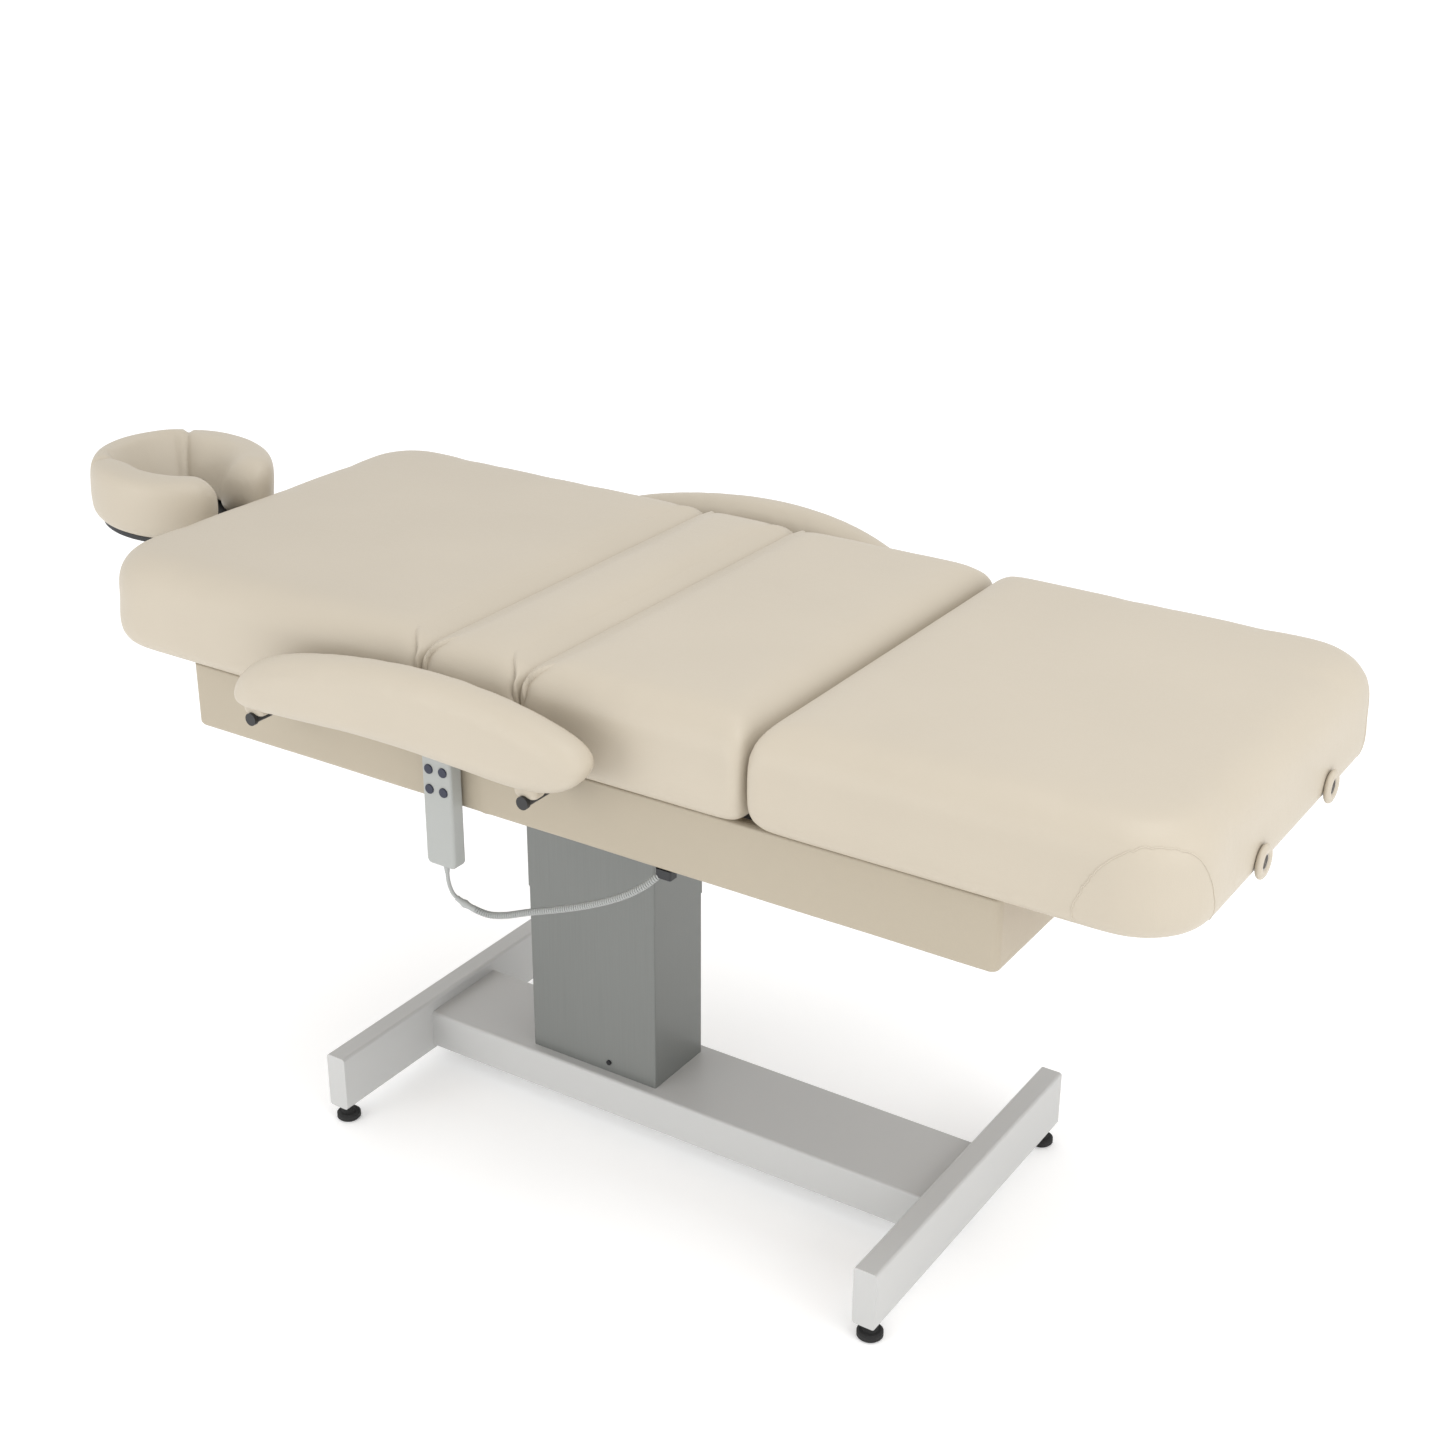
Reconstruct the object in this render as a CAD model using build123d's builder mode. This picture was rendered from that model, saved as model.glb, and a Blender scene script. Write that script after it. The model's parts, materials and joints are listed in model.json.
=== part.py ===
"""Electric treatment and examination couch.

Millimetres, +Z up. The origin lies on the floor under the middle of the base.
+X runs along the couch towards the foot end, -Y is the side with the handset.
"""
import os
from math import cos, pi, radians, sin, tan

from build123d import *

# ---------------------------------------------------------------- top and its cushions
TOP_WIDTH = 762.0
TOP_HEIGHT = 963.0
CUSHION_THICKNESS = 155.0
HEAD_END_X = -898.0
BACK_SEAM_X = -215.0
THIGH_SEAM_X = -38.0
KNEE_SEAM_X = 330.0
FOOT_END_X = 950.0
SEAM_GAP = 1.6
OUTER_CORNER_RADIUS = 105.0
TOP_EDGE_RADIUS = 52.0
BOTTOM_EDGE_RADIUS = 38.0
SEAM_EDGE_RADIUS = 34.0
BOARD_THICKNESS = 18.0
BOARD_INSET = 46.0
CUSHION_BOTTOM = TOP_HEIGHT - CUSHION_THICKNESS
BOARD_TOP = CUSHION_BOTTOM + BOARD_THICKNESS

# ---------------------------------------------------------------- base
BASE_HALF_LENGTH = 506.0
FOOT_BAR_LENGTH = 623.0
FOOT_BAR_WIDTH = 38.0
FOOT_BAR_HEIGHT = 99.0
FOOT_BAR_WALL = 3.0
FLOOR_GAP = 31.0
BEAM_WIDTH = 175.0
BEAM_HEIGHT = 69.0
BEAM_LIFT = 8.0
BEAM_WALL = 4.0
FOOT_PAD_RADIUS = 20.0
FOOT_PAD_HEIGHT = 13.0
FOOT_PAD_INSET = 22.0
BAR_BOTTOM = FLOOR_GAP
BEAM_BOTTOM = FLOOR_GAP + BEAM_LIFT
BEAM_TOP = BEAM_BOTTOM + BEAM_HEIGHT
BEAM_HALF_LENGTH = BASE_HALF_LENGTH - FOOT_BAR_WIDTH / 2

# ---------------------------------------------------------------- lift column
COLUMN_X = -151.5
COVER_LENGTH = 250.0
COVER_WIDTH = 137.0
COVER_SHEET = 1.0
COVER_STEP_CLEARANCE = 0.5
LIFT_TRAVEL = 280.0
STAGE_WALL = 4.0
STAGE_CLEARANCE = 1.0
OUTER_STAGE_LENGTH = 150.0
OUTER_STAGE_WIDTH = 90.0
STAGE_CORNER_RADIUS = 8.0
STAGE_OVERLAP_GAP = 3.0
COLUMN_PLATE_THICKNESS = 10.0
HEAD_PLATE_THICKNESS = 12.0
SPINDLE_RADIUS = 8.0
NUT_TUBE_RADIUS = 16.0
COVER_SCREW_RADIUS = 4.5

# ---------------------------------------------------------------- top frame and apron
RAIL_Y = 250.0
RAIL_WIDTH = 40.0
RAIL_HEIGHT = 38.0
RAIL_WALL = 2.5
CROSSBAR_HEIGHT = 24.0
CROSSBAR_WIDTH = 30.0
BOARD_CLEARANCE = 1.5
APRON_HEAD_X = -714.0
APRON_FOOT_X = 695.0
APRON_HALF_WIDTH = 345.0
APRON_BOTTOM = 696.0
APRON_THICKNESS = 20.0
APRON_EDGE_RADIUS = 9.0
CROSSBAR_TOP = CUSHION_BOTTOM - BOARD_CLEARANCE
RAIL_TOP = CROSSBAR_TOP - CROSSBAR_HEIGHT
RAIL_BOTTOM = RAIL_TOP - RAIL_HEIGHT
HEAD_PLATE_BOTTOM = RAIL_BOTTOM - HEAD_PLATE_THICKNESS
APRON_TOP = CROSSBAR_TOP

# ---------------------------------------------------------------- hinges of the sections
HINGE_DEPTH = 22.0
HINGE_Y = 110.0
HINGE_PLATE = 6.0
HINGE_BOSS_RADIUS = 7.0
HINGE_PIN_RADIUS = 3.5
HINGE_ARM_WIDTH = 20.0
RUNNING_CLEARANCE = 0.05
SIDE_CLEARANCE = 0.5
POCKET_CLEARANCE = 3.0
HINGE_Z = TOP_HEIGHT - HINGE_DEPTH
KNEE_BARREL_RADIUS = 6.0
KNEE_HINGE_Y = 140.0
KNEE_HINGE_WIDTH = 70.0
KNEE_LEAF_LENGTH = 60.0
KNEE_LEAF_THICKNESS = 3.0

# ---------------------------------------------------------------- actuators under the sections
BACK_PIVOT = (-294.0, 716.0)
BACK_LUG = (-600.0, 784.0)
KNEE_PIVOT = (-8.0, 760.0)
KNEE_LUG = (220.0, 785.0)
ACTUATOR_RADIUS = 13.0
ROD_RADIUS = 7.0
EYE_RADIUS = 9.0
LUG_THICKNESS = 8.0
LUG_GAP = 1.5
FORK_CHEEK = 5.0
FORK_DEPTH = 22.0
FORK_CROWN = 8.0
ACTUATOR_PIN_RADIUS = 5.0

# ---------------------------------------------------------------- armrests
ARM_TUBE_X = (-499.0, 12.0)
ARM_TUBE_RADIUS = 8.0
ARM_TUBE_INNER_Y = 165.0
ARM_TUBE_OVERHANG = 50.0
ARM_TUBE_OUTER_Y = TOP_WIDTH / 2 + ARM_TUBE_OVERHANG
ARM_SLEEVE_WALL = 2.5
ARM_SLEEVE_LENGTH = 150.0
ARM_TUBE_Z = RAIL_TOP + ARM_TUBE_RADIUS + RUNNING_CLEARANCE + ARM_SLEEVE_WALL
ARM_CAP_RADIUS = 10.0
ARM_CAP_LENGTH = 7.0
ARM_LEAN = 12.0
ARM_STANDOFF = 46.0
ARM_FOOT_Y = TOP_WIDTH / 2 + ARM_STANDOFF
ARM_FOOT_Z = 815.0
ARM_THICKNESS = 60.0
ARM_EDGE_RADIUS = 25.0
ARM_SADDLE_LENGTH = 18.0
ARM_SADDLE_WIDTH = 22.0

# ---------------------------------------------------------------- face cradle and its sockets
SOCKET_Y = 130.0
SOCKET_Z = 842.0
CRADLE_ROD_RADIUS = 9.5
SOCKET_WALL = 5.0
SOCKET_LENGTH = 200.0
SOCKET_LIP = 4.0
CRADLE_ROD_LENGTH = 300.0
CRADLE_ROD_INSERTION = 175.0
CRADLE_BAR_X = -992.0
CRADLE_BAR_SIZE = 24.0
CRADLE_CENTRE_X = -1076.0
CRADLE_BOTTOM = 885.0
CRADLE_HEIGHT = 103.0
CRADLE_TILT = 4.5
CRADLE_OUTER_RADIUS = 154.0
CRADLE_INNER_RADIUS = 66.0
CRADLE_MOUTH_WIDTH = 64.0
CRADLE_PLATE_THICKNESS = 8.0
CRADLE_PLATE_INSET = 16.0
CRADLE_EDGE_RADIUS = 26.0
CRADLE_PIVOT_RADIUS = 5.0

# ---------------------------------------------------------------- handset and its cord
HANDSET_X = -195.0
HANDSET_BACK_Y = -349.0
HANDSET_WIDTH = 54.0
HANDSET_DEPTH = 27.0
HANDSET_BOTTOM = 607.0
HANDSET_LENGTH = 184.0
HANDSET_CORNER = 9.0
BUTTON_RADIUS = 7.5
BUTTON_TRAVEL = 1.2
BUTTON_PITCH_X = 26.0
BUTTON_ROWS_Z = (764.0, 732.0)
BUTTON_PROUD = 2.2
LEAD_DIAMETER = 6.0
CURLY_DIAMETER = 11.0


def side_plane(y):
    """Plane facing -Y whose local axes are X and Z."""
    return Plane(origin=(0, y, 0), x_dir=(1, 0, 0), z_dir=(0, -1, 0))


def end_plane(x):
    """Plane facing +X whose local axes are Y and Z."""
    return Plane(origin=(x, 0, 0), x_dir=(0, 1, 0), z_dir=(1, 0, 0))


def rectangular_tube(plane, centre, size, wall, length, corner):
    """Hollow rectangular tube that starts on a plane and runs along its normal."""
    with BuildPart() as tube:
        with BuildSketch(plane):
            with Locations(centre):
                RectangleRounded(size[0], size[1], corner)
                inner_corner = max(corner - wall, corner / 3)
                RectangleRounded(size[0] - 2 * wall, size[1] - 2 * wall, inner_corner, mode=Mode.SUBTRACT)
        extrude(amount=length)
    return tube


# ================================================================ base
# Two rectangular steel foot bars joined by a wide box beam, powder coated.
END_PLATE = 3.0
BAR_CORNER = 5.0
STUD_RADIUS = 5.0
FOOT_Y = FOOT_BAR_LENGTH / 2 - FOOT_PAD_INSET


def base_bar(centre_x):
    """Foot bar along Y with a hole for a levelling foot near each end."""
    bar_centre = (centre_x, BAR_BOTTOM + FOOT_BAR_HEIGHT / 2)
    length = FOOT_BAR_LENGTH - 2 * END_PLATE
    tube = rectangular_tube(side_plane(length / 2), bar_centre, (FOOT_BAR_WIDTH, FOOT_BAR_HEIGHT),
                            FOOT_BAR_WALL, length, BAR_CORNER)
    with BuildPart() as bar:
        add(tube.part)
        for plate_y in (FOOT_BAR_LENGTH / 2, END_PLATE - FOOT_BAR_LENGTH / 2):
            with BuildSketch(side_plane(plate_y)):
                with Locations(bar_centre):
                    RectangleRounded(FOOT_BAR_WIDTH, FOOT_BAR_HEIGHT, BAR_CORNER)
            extrude(amount=END_PLATE)
        with BuildSketch(Plane.XY.offset(BAR_BOTTOM)):
            with Locations((centre_x, -FOOT_Y), (centre_x, FOOT_Y)):
                Circle(STUD_RADIUS)
        extrude(amount=FOOT_BAR_WALL, mode=Mode.SUBTRACT)
    return bar


with BuildPart() as base_bars:
    add(base_bar(-BASE_HALF_LENGTH).part)
    add(base_bar(BASE_HALF_LENGTH).part)

# The beam is a box tube, let into neither bar: it butts against their inner walls.
PLATE_BOLT_X = 98.0
PLATE_BOLT_Y = 42.0
BOLT_RADIUS = 5.0
BOLT_HOLE_RADIUS = 5.25
SPINDLE_HOLE_RADIUS = 12.0
BEAM_CORNER = 6.0
beam_tube = rectangular_tube(end_plane(-BEAM_HALF_LENGTH), (0, BEAM_BOTTOM + BEAM_HEIGHT / 2),
                             (BEAM_WIDTH, BEAM_HEIGHT), BEAM_WALL, 2 * BEAM_HALF_LENGTH, BEAM_CORNER)
with BuildPart() as base_beam:
    add(beam_tube.part)
    with BuildSketch(Plane.XY.offset(BEAM_TOP - BEAM_WALL)):
        with Locations((COLUMN_X, 0)):
            Circle(SPINDLE_HOLE_RADIUS)
            with GridLocations(2 * PLATE_BOLT_X, 2 * PLATE_BOLT_Y, 2, 2):
                Circle(BOLT_HOLE_RADIUS)
    extrude(amount=BEAM_WALL, mode=Mode.SUBTRACT)

# Rubber pads moulded on threaded studs, one near each end of the bars.
STUD_HEIGHT = 52.0
FOOT_NECK_RADIUS = 9.0
FOOT_PAD_EDGE = 3.0
with BuildPart() as levelling_feet:
    with BuildSketch(Plane.XZ):
        with BuildLine():
            Polyline((0, 0), (FOOT_PAD_RADIUS - FOOT_PAD_EDGE, 0), (FOOT_PAD_RADIUS, FOOT_PAD_EDGE),
                     (FOOT_PAD_RADIUS, FOOT_PAD_HEIGHT - FOOT_PAD_EDGE),
                     (FOOT_PAD_RADIUS - FOOT_PAD_EDGE, FOOT_PAD_HEIGHT),
                     (FOOT_NECK_RADIUS + FOOT_PAD_EDGE, FOOT_PAD_HEIGHT),
                     (FOOT_NECK_RADIUS, FOOT_PAD_HEIGHT + FOOT_PAD_EDGE), (FOOT_NECK_RADIUS, BAR_BOTTOM),
                     (STUD_RADIUS, BAR_BOTTOM), (STUD_RADIUS, STUD_HEIGHT), (0, STUD_HEIGHT), close=True)
        make_face()
    revolve(axis=Axis.Z)
foot_solid = levelling_feet.part
with BuildPart() as levelling_feet:
    with GridLocations(2 * BASE_HALF_LENGTH, 2 * FOOT_Y, 2, 2):
        add(foot_solid)

# ================================================================ lift column, fixed stage
COVER_INNER_HALF_WIDTH = COVER_WIDTH / 2 - COVER_SHEET
COLUMN_PLATE_SIZE = (232.0, 122.0)
COLUMN_PLATE_TOP = BEAM_TOP + COLUMN_PLATE_THICKNESS
TAB_THICKNESS = 4.0
TAB_WIDTH = 26.0
TAB_HEIGHT = 22.0
SCREW_X = COLUMN_X + 31.5
SCREW_Z = COLUMN_PLATE_TOP + 8.0
SCREW_SHANK_RADIUS = 2.0
with BuildPart() as column_base_plate:
    with BuildSketch(Plane.XY.offset(BEAM_TOP)):
        with Locations((COLUMN_X, 0)):
            Rectangle(*COLUMN_PLATE_SIZE)
            with Locations((SCREW_X - COLUMN_X, 0)):
                Rectangle(TAB_WIDTH, 2 * COVER_INNER_HALF_WIDTH)
            Circle(SPINDLE_HOLE_RADIUS, mode=Mode.SUBTRACT)
            with GridLocations(2 * PLATE_BOLT_X, 2 * PLATE_BOLT_Y, 2, 2):
                Circle(BOLT_HOLE_RADIUS, mode=Mode.SUBTRACT)
    extrude(amount=COLUMN_PLATE_THICKNESS)
    with BuildSketch(Plane.XY.offset(COLUMN_PLATE_TOP)):
        tab_y = COVER_INNER_HALF_WIDTH - TAB_THICKNESS / 2
        with Locations((SCREW_X, -tab_y), (SCREW_X, tab_y)):
            Rectangle(TAB_WIDTH, TAB_THICKNESS)
    extrude(amount=TAB_HEIGHT)
    with BuildSketch(side_plane(COVER_WIDTH)):
        with Locations((SCREW_X, SCREW_Z)):
            Circle(SCREW_SHANK_RADIUS)
    extrude(amount=2 * COVER_WIDTH, mode=Mode.SUBTRACT)

BOLT_HEAD_RADIUS = 8.5
BOLT_HEAD_HEIGHT = 6.4
BOLT_LENGTH = 22.0
with BuildPart() as column_screws:
    with BuildSketch(Plane.XY.offset(COLUMN_PLATE_TOP - BOLT_LENGTH)):
        with Locations((COLUMN_X, 0)):
            with GridLocations(2 * PLATE_BOLT_X, 2 * PLATE_BOLT_Y, 2, 2):
                Circle(BOLT_RADIUS)
    extrude(amount=BOLT_LENGTH)
    with BuildSketch(Plane.XY.offset(COLUMN_PLATE_TOP)):
        with Locations((COLUMN_X, 0)):
            with GridLocations(2 * PLATE_BOLT_X, 2 * PLATE_BOLT_Y, 2, 2):
                RegularPolygon(BOLT_HEAD_RADIUS, 6)
    extrude(amount=BOLT_HEAD_HEIGHT)

LOWEST_HEAD_PLATE = HEAD_PLATE_BOTTOM - LIFT_TRAVEL
FIXED_STAGE_TOP = LOWEST_HEAD_PLATE - 2.0
lift_outer_profile = rectangular_tube(Plane.XY.offset(COLUMN_PLATE_TOP), (COLUMN_X, 0),
                                      (OUTER_STAGE_LENGTH, OUTER_STAGE_WIDTH), STAGE_WALL,
                                      FIXED_STAGE_TOP - COLUMN_PLATE_TOP, STAGE_CORNER_RADIUS)
column_lower_cover = rectangular_tube(Plane.XY.offset(BEAM_TOP), (COLUMN_X, 0), (COVER_LENGTH, COVER_WIDTH),
                                      COVER_SHEET, FIXED_STAGE_TOP - BEAM_TOP, 3.0)
with BuildPart() as column_lower_cover_drilled:
    add(column_lower_cover.part)
    with BuildSketch(side_plane(COVER_WIDTH)):
        with Locations((SCREW_X, SCREW_Z)):
            Circle(SCREW_SHANK_RADIUS)
    extrude(amount=2 * COVER_WIDTH, mode=Mode.SUBTRACT)
column_lower_cover = column_lower_cover_drilled

SCREW_HEAD_HEIGHT = 2.4
with BuildPart() as cover_screws:
    with BuildSketch(side_plane(-COVER_WIDTH / 2 + COVER_SHEET + TAB_THICKNESS)):
        with Locations((SCREW_X, SCREW_Z)):
            Circle(SCREW_SHANK_RADIUS)
    extrude(amount=COVER_SHEET + TAB_THICKNESS)
    with BuildSketch(side_plane(-COVER_WIDTH / 2)):
        with Locations((SCREW_X, SCREW_Z)):
            Circle(COVER_SCREW_RADIUS)
    extrude(amount=SCREW_HEAD_HEIGHT)
    mirror(about=Plane.XZ)

# Gear motor lying in the beam and the spindle that stands on it.
GEARBOX_SIZE = (64.0, 56.0, 50.0)
MOTOR_RADIUS = 22.0
MOTOR_LENGTH = 120.0
GEARBOX_BOTTOM = BEAM_BOTTOM + BEAM_WALL
SPINDLE_SEAT = 20.0
with BuildPart() as lift_motor:
    with BuildSketch(Plane.XY.offset(GEARBOX_BOTTOM)):
        with Locations((COLUMN_X, 0)):
            RectangleRounded(GEARBOX_SIZE[0], GEARBOX_SIZE[1], 6)
    extrude(amount=GEARBOX_SIZE[2])
    with BuildSketch(end_plane(COLUMN_X + GEARBOX_SIZE[0] / 2)):
        with Locations((0, GEARBOX_BOTTOM + GEARBOX_SIZE[2] / 2)):
            Circle(MOTOR_RADIUS)
    extrude(amount=MOTOR_LENGTH)
    with BuildSketch(Plane.XY.offset(GEARBOX_BOTTOM + GEARBOX_SIZE[2] - SPINDLE_SEAT)):
        with Locations((COLUMN_X, 0)):
            Circle(SPINDLE_RADIUS)
    extrude(amount=SPINDLE_SEAT, mode=Mode.SUBTRACT)

SPINDLE_BOTTOM = GEARBOX_BOTTOM + GEARBOX_SIZE[2] - SPINDLE_SEAT
with BuildPart() as lift_spindle:
    with BuildSketch(Plane.XY.offset(SPINDLE_BOTTOM)):
        with Locations((COLUMN_X, 0)):
            Circle(SPINDLE_RADIUS)
    extrude(amount=FIXED_STAGE_TOP - SPINDLE_BOTTOM)

# ================================================================ lift column, middle stage
HALF_TRAVEL = LIFT_TRAVEL / 2
STAGE_STEP = 2 * (STAGE_WALL + STAGE_CLEARANCE)
MIDDLE_LENGTH = OUTER_STAGE_LENGTH - STAGE_STEP
MIDDLE_WIDTH = OUTER_STAGE_WIDTH - STAGE_STEP
MIDDLE_BOTTOM = COLUMN_PLATE_TOP + HALF_TRAVEL + STAGE_OVERLAP_GAP + 8.0
MIDDLE_TOP = FIXED_STAGE_TOP + HALF_TRAVEL - STAGE_OVERLAP_GAP
NUT_FLANGE = 8.0
lift_middle_profile = rectangular_tube(Plane.XY.offset(MIDDLE_BOTTOM), (COLUMN_X, 0),
                                       (MIDDLE_LENGTH, MIDDLE_WIDTH), STAGE_WALL,
                                       MIDDLE_TOP - MIDDLE_BOTTOM, STAGE_CORNER_RADIUS)
with BuildPart() as lift_nut_tube:
    with BuildSketch(Plane.XY.offset(MIDDLE_BOTTOM)):
        with Locations((COLUMN_X, 0)):
            RectangleRounded(MIDDLE_LENGTH - 2 * STAGE_WALL, MIDDLE_WIDTH - 2 * STAGE_WALL,
                             STAGE_CORNER_RADIUS - STAGE_WALL)
    extrude(amount=NUT_FLANGE)
    with BuildSketch(Plane.XY.offset(MIDDLE_BOTTOM + NUT_FLANGE)):
        with Locations((COLUMN_X, 0)):
            Circle(NUT_TUBE_RADIUS)
    extrude(amount=MIDDLE_TOP - MIDDLE_BOTTOM - 2 * NUT_FLANGE)
    with BuildSketch(Plane.XY.offset(MIDDLE_BOTTOM)):
        with Locations((COLUMN_X, 0)):
            Circle(SPINDLE_RADIUS + RUNNING_CLEARANCE)
    extrude(amount=MIDDLE_TOP - MIDDLE_BOTTOM, mode=Mode.SUBTRACT)

# ================================================================ lift column, moving stage and top frame
INNER_LENGTH = MIDDLE_LENGTH - STAGE_STEP
INNER_WIDTH = MIDDLE_WIDTH - STAGE_STEP
INNER_BOTTOM = MIDDLE_BOTTOM + HALF_TRAVEL + NUT_FLANGE + STAGE_OVERLAP_GAP
lift_inner_profile = rectangular_tube(Plane.XY.offset(INNER_BOTTOM), (COLUMN_X, 0),
                                      (INNER_LENGTH, INNER_WIDTH), STAGE_WALL,
                                      HEAD_PLATE_BOTTOM - INNER_BOTTOM, STAGE_CORNER_RADIUS - 2)
UPPER_COVER_STEP = 2 * (COVER_SHEET + COVER_STEP_CLEARANCE)
SCREW_CLEARANCE = 3.0
UPPER_COVER_BOTTOM = SCREW_Z + COVER_SCREW_RADIUS + SCREW_CLEARANCE + LIFT_TRAVEL
column_upper_cover = rectangular_tube(Plane.XY.offset(UPPER_COVER_BOTTOM), (COLUMN_X, 0),
                                      (COVER_LENGTH + UPPER_COVER_STEP, COVER_WIDTH + UPPER_COVER_STEP),
                                      COVER_SHEET, HEAD_PLATE_BOTTOM - UPPER_COVER_BOTTOM, 4.0)

HEAD_PLATE_LENGTH = 180.0
with BuildPart() as lift_head_plate:
    with BuildSketch(Plane.XY.offset(HEAD_PLATE_BOTTOM)):
        with Locations((COLUMN_X, 0)):
            Rectangle(HEAD_PLATE_LENGTH, 2 * RAIL_Y + RAIL_WIDTH)
            Rectangle(COVER_LENGTH + UPPER_COVER_STEP, COVER_WIDTH + UPPER_COVER_STEP)
    extrude(amount=HEAD_PLATE_THICKNESS)

RAIL_END_GAP = 26.0
rail = rectangular_tube(end_plane(APRON_HEAD_X + RAIL_END_GAP), (RAIL_Y, RAIL_BOTTOM + RAIL_HEIGHT / 2),
                        (RAIL_WIDTH, RAIL_HEIGHT), RAIL_WALL,
                        APRON_FOOT_X - APRON_HEAD_X - 2 * RAIL_END_GAP, 4.0)
with BuildPart() as frame_rails:
    add(rail.part)
    mirror(about=Plane.XZ)

SEAM_BAR_OFFSET = 16.5
HEAD_BAR_X = APRON_HEAD_X + 54.0
FOOT_BAR_X = APRON_FOOT_X - 54.0
BAR_XS = (HEAD_BAR_X, BACK_SEAM_X + SEAM_BAR_OFFSET, THIGH_SEAM_X - SEAM_BAR_OFFSET,
          KNEE_SEAM_X + 110.0, FOOT_BAR_X)
CROSSBAR_HALF = APRON_HALF_WIDTH - APRON_THICKNESS
with BuildPart() as frame_crossbars:
    with BuildSketch(side_plane(CROSSBAR_HALF)):
        with Locations(*[(x, RAIL_TOP + CROSSBAR_HEIGHT / 2) for x in BAR_XS]):
            Rectangle(CROSSBAR_WIDTH, CROSSBAR_HEIGHT)
            Rectangle(CROSSBAR_WIDTH - 4, CROSSBAR_HEIGHT - 4, mode=Mode.SUBTRACT)
    extrude(amount=2 * CROSSBAR_HALF)

# Plywood apron wrapped in vinyl: two long sides and two ends under the pads.
ARM_SLOT_CLEARANCE = 0.6
with BuildPart() as apron_sides:
    with BuildSketch(side_plane(APRON_HALF_WIDTH)):
        with Locations(((APRON_HEAD_X + APRON_FOOT_X) / 2, (APRON_BOTTOM + APRON_TOP) / 2)):
            Rectangle(APRON_FOOT_X - APRON_HEAD_X, APRON_TOP - APRON_BOTTOM)
    extrude(amount=APRON_THICKNESS)
    outer_edges = apron_sides.edges().filter_by_position(Axis.Y, APRON_HALF_WIDTH - 0.1, APRON_HALF_WIDTH + 0.1)
    fillet(outer_edges.sort_by(Axis.Z)[:-1], APRON_EDGE_RADIUS)
    with BuildSketch(side_plane(APRON_HALF_WIDTH)):
        with Locations(*[(x, ARM_TUBE_Z) for x in ARM_TUBE_X]):
            Circle(ARM_TUBE_RADIUS + ARM_SLOT_CLEARANCE)
        with Locations(*[(x, (ARM_TUBE_Z + APRON_TOP) / 2) for x in ARM_TUBE_X]):
            Rectangle(2 * (ARM_TUBE_RADIUS + ARM_SLOT_CLEARANCE), APRON_TOP - ARM_TUBE_Z)
    extrude(amount=APRON_THICKNESS, mode=Mode.SUBTRACT)
    mirror(about=Plane.XZ)

with BuildPart() as apron_ends:
    with BuildSketch(end_plane(APRON_FOOT_X - APRON_THICKNESS)):
        with Locations((0, (APRON_BOTTOM + APRON_TOP) / 2)):
            Rectangle(2 * CROSSBAR_HALF, APRON_TOP - APRON_BOTTOM)
    extrude(amount=APRON_THICKNESS)
    with BuildSketch(end_plane(APRON_HEAD_X)):
        with Locations((0, (APRON_BOTTOM + APRON_TOP) / 2)):
            Rectangle(2 * CROSSBAR_HALF, APRON_TOP - APRON_BOTTOM)
    extrude(amount=APRON_THICKNESS)

# Control box on the underside of the crossbars, with its mains socket facing the foot end.
CONTROL_BOX_SIZE = (230.0, 150.0, 36.0)
CONTROL_BOX_X = KNEE_SEAM_X + 110.0
INLET_SIZE = (50.0, 28.0)
INLET_DEPTH = 14.0
with BuildPart() as control_box:
    with BuildSketch(Plane.XY.offset(RAIL_TOP - CONTROL_BOX_SIZE[2])):
        with Locations((CONTROL_BOX_X, 0)):
            RectangleRounded(CONTROL_BOX_SIZE[0], CONTROL_BOX_SIZE[1], 6)
    extrude(amount=CONTROL_BOX_SIZE[2])
with BuildPart() as mains_inlet:
    with BuildSketch(end_plane(CONTROL_BOX_X + CONTROL_BOX_SIZE[0] / 2)):
        with Locations((0, RAIL_TOP - CONTROL_BOX_SIZE[2] / 2)):
            RectangleRounded(INLET_SIZE[0], INLET_SIZE[1], 4)
    extrude(amount=INLET_DEPTH)
    with BuildSketch(end_plane(CONTROL_BOX_X + CONTROL_BOX_SIZE[0] / 2 + INLET_DEPTH)):
        with Locations((0, RAIL_TOP - CONTROL_BOX_SIZE[2] / 2)):
            RectangleRounded(INLET_SIZE[0] - 8, INLET_SIZE[1] - 8, 3)
    extrude(amount=-INLET_DEPTH + 4, mode=Mode.SUBTRACT)

# ================================================================ pads and boards
BOARD_SEAM_INSET = SEAM_EDGE_RADIUS + 2
POCKET_DEPTH = HINGE_ARM_WIDTH + 2 * POCKET_CLEARANCE
POCKET_TOP = HINGE_Z + HINGE_BOSS_RADIUS + POCKET_CLEARANCE
POCKET_INNER_Y = HINGE_Y - 5.0
POCKET_OUTER_Y = HINGE_Y + 2 * HINGE_PLATE + SIDE_CLEARANCE + 5.0


def board_outline(start_x, end_x, head_end, foot_end, bottom, top):
    """Plywood board of one section, its outer corners concentric with the pad's."""
    start = start_x + (BOARD_INSET if head_end else BOARD_SEAM_INSET)
    end = end_x - (BOARD_INSET if foot_end else BOARD_SEAM_INSET)
    with BuildPart() as board:
        with BuildSketch(Plane.XY.offset(bottom)):
            with Locations(((start + end) / 2, 0)):
                Rectangle(end - start, TOP_WIDTH - 2 * BOARD_INSET)
        extrude(amount=top - bottom)
        uprights = board.edges().filter_by(Axis.Z).group_by(Axis.X)
        if head_end:
            fillet(uprights[0], OUTER_CORNER_RADIUS - BOARD_INSET)
        if foot_end:
            fillet(uprights[-1], OUTER_CORNER_RADIUS - BOARD_INSET)
    return board


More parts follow.
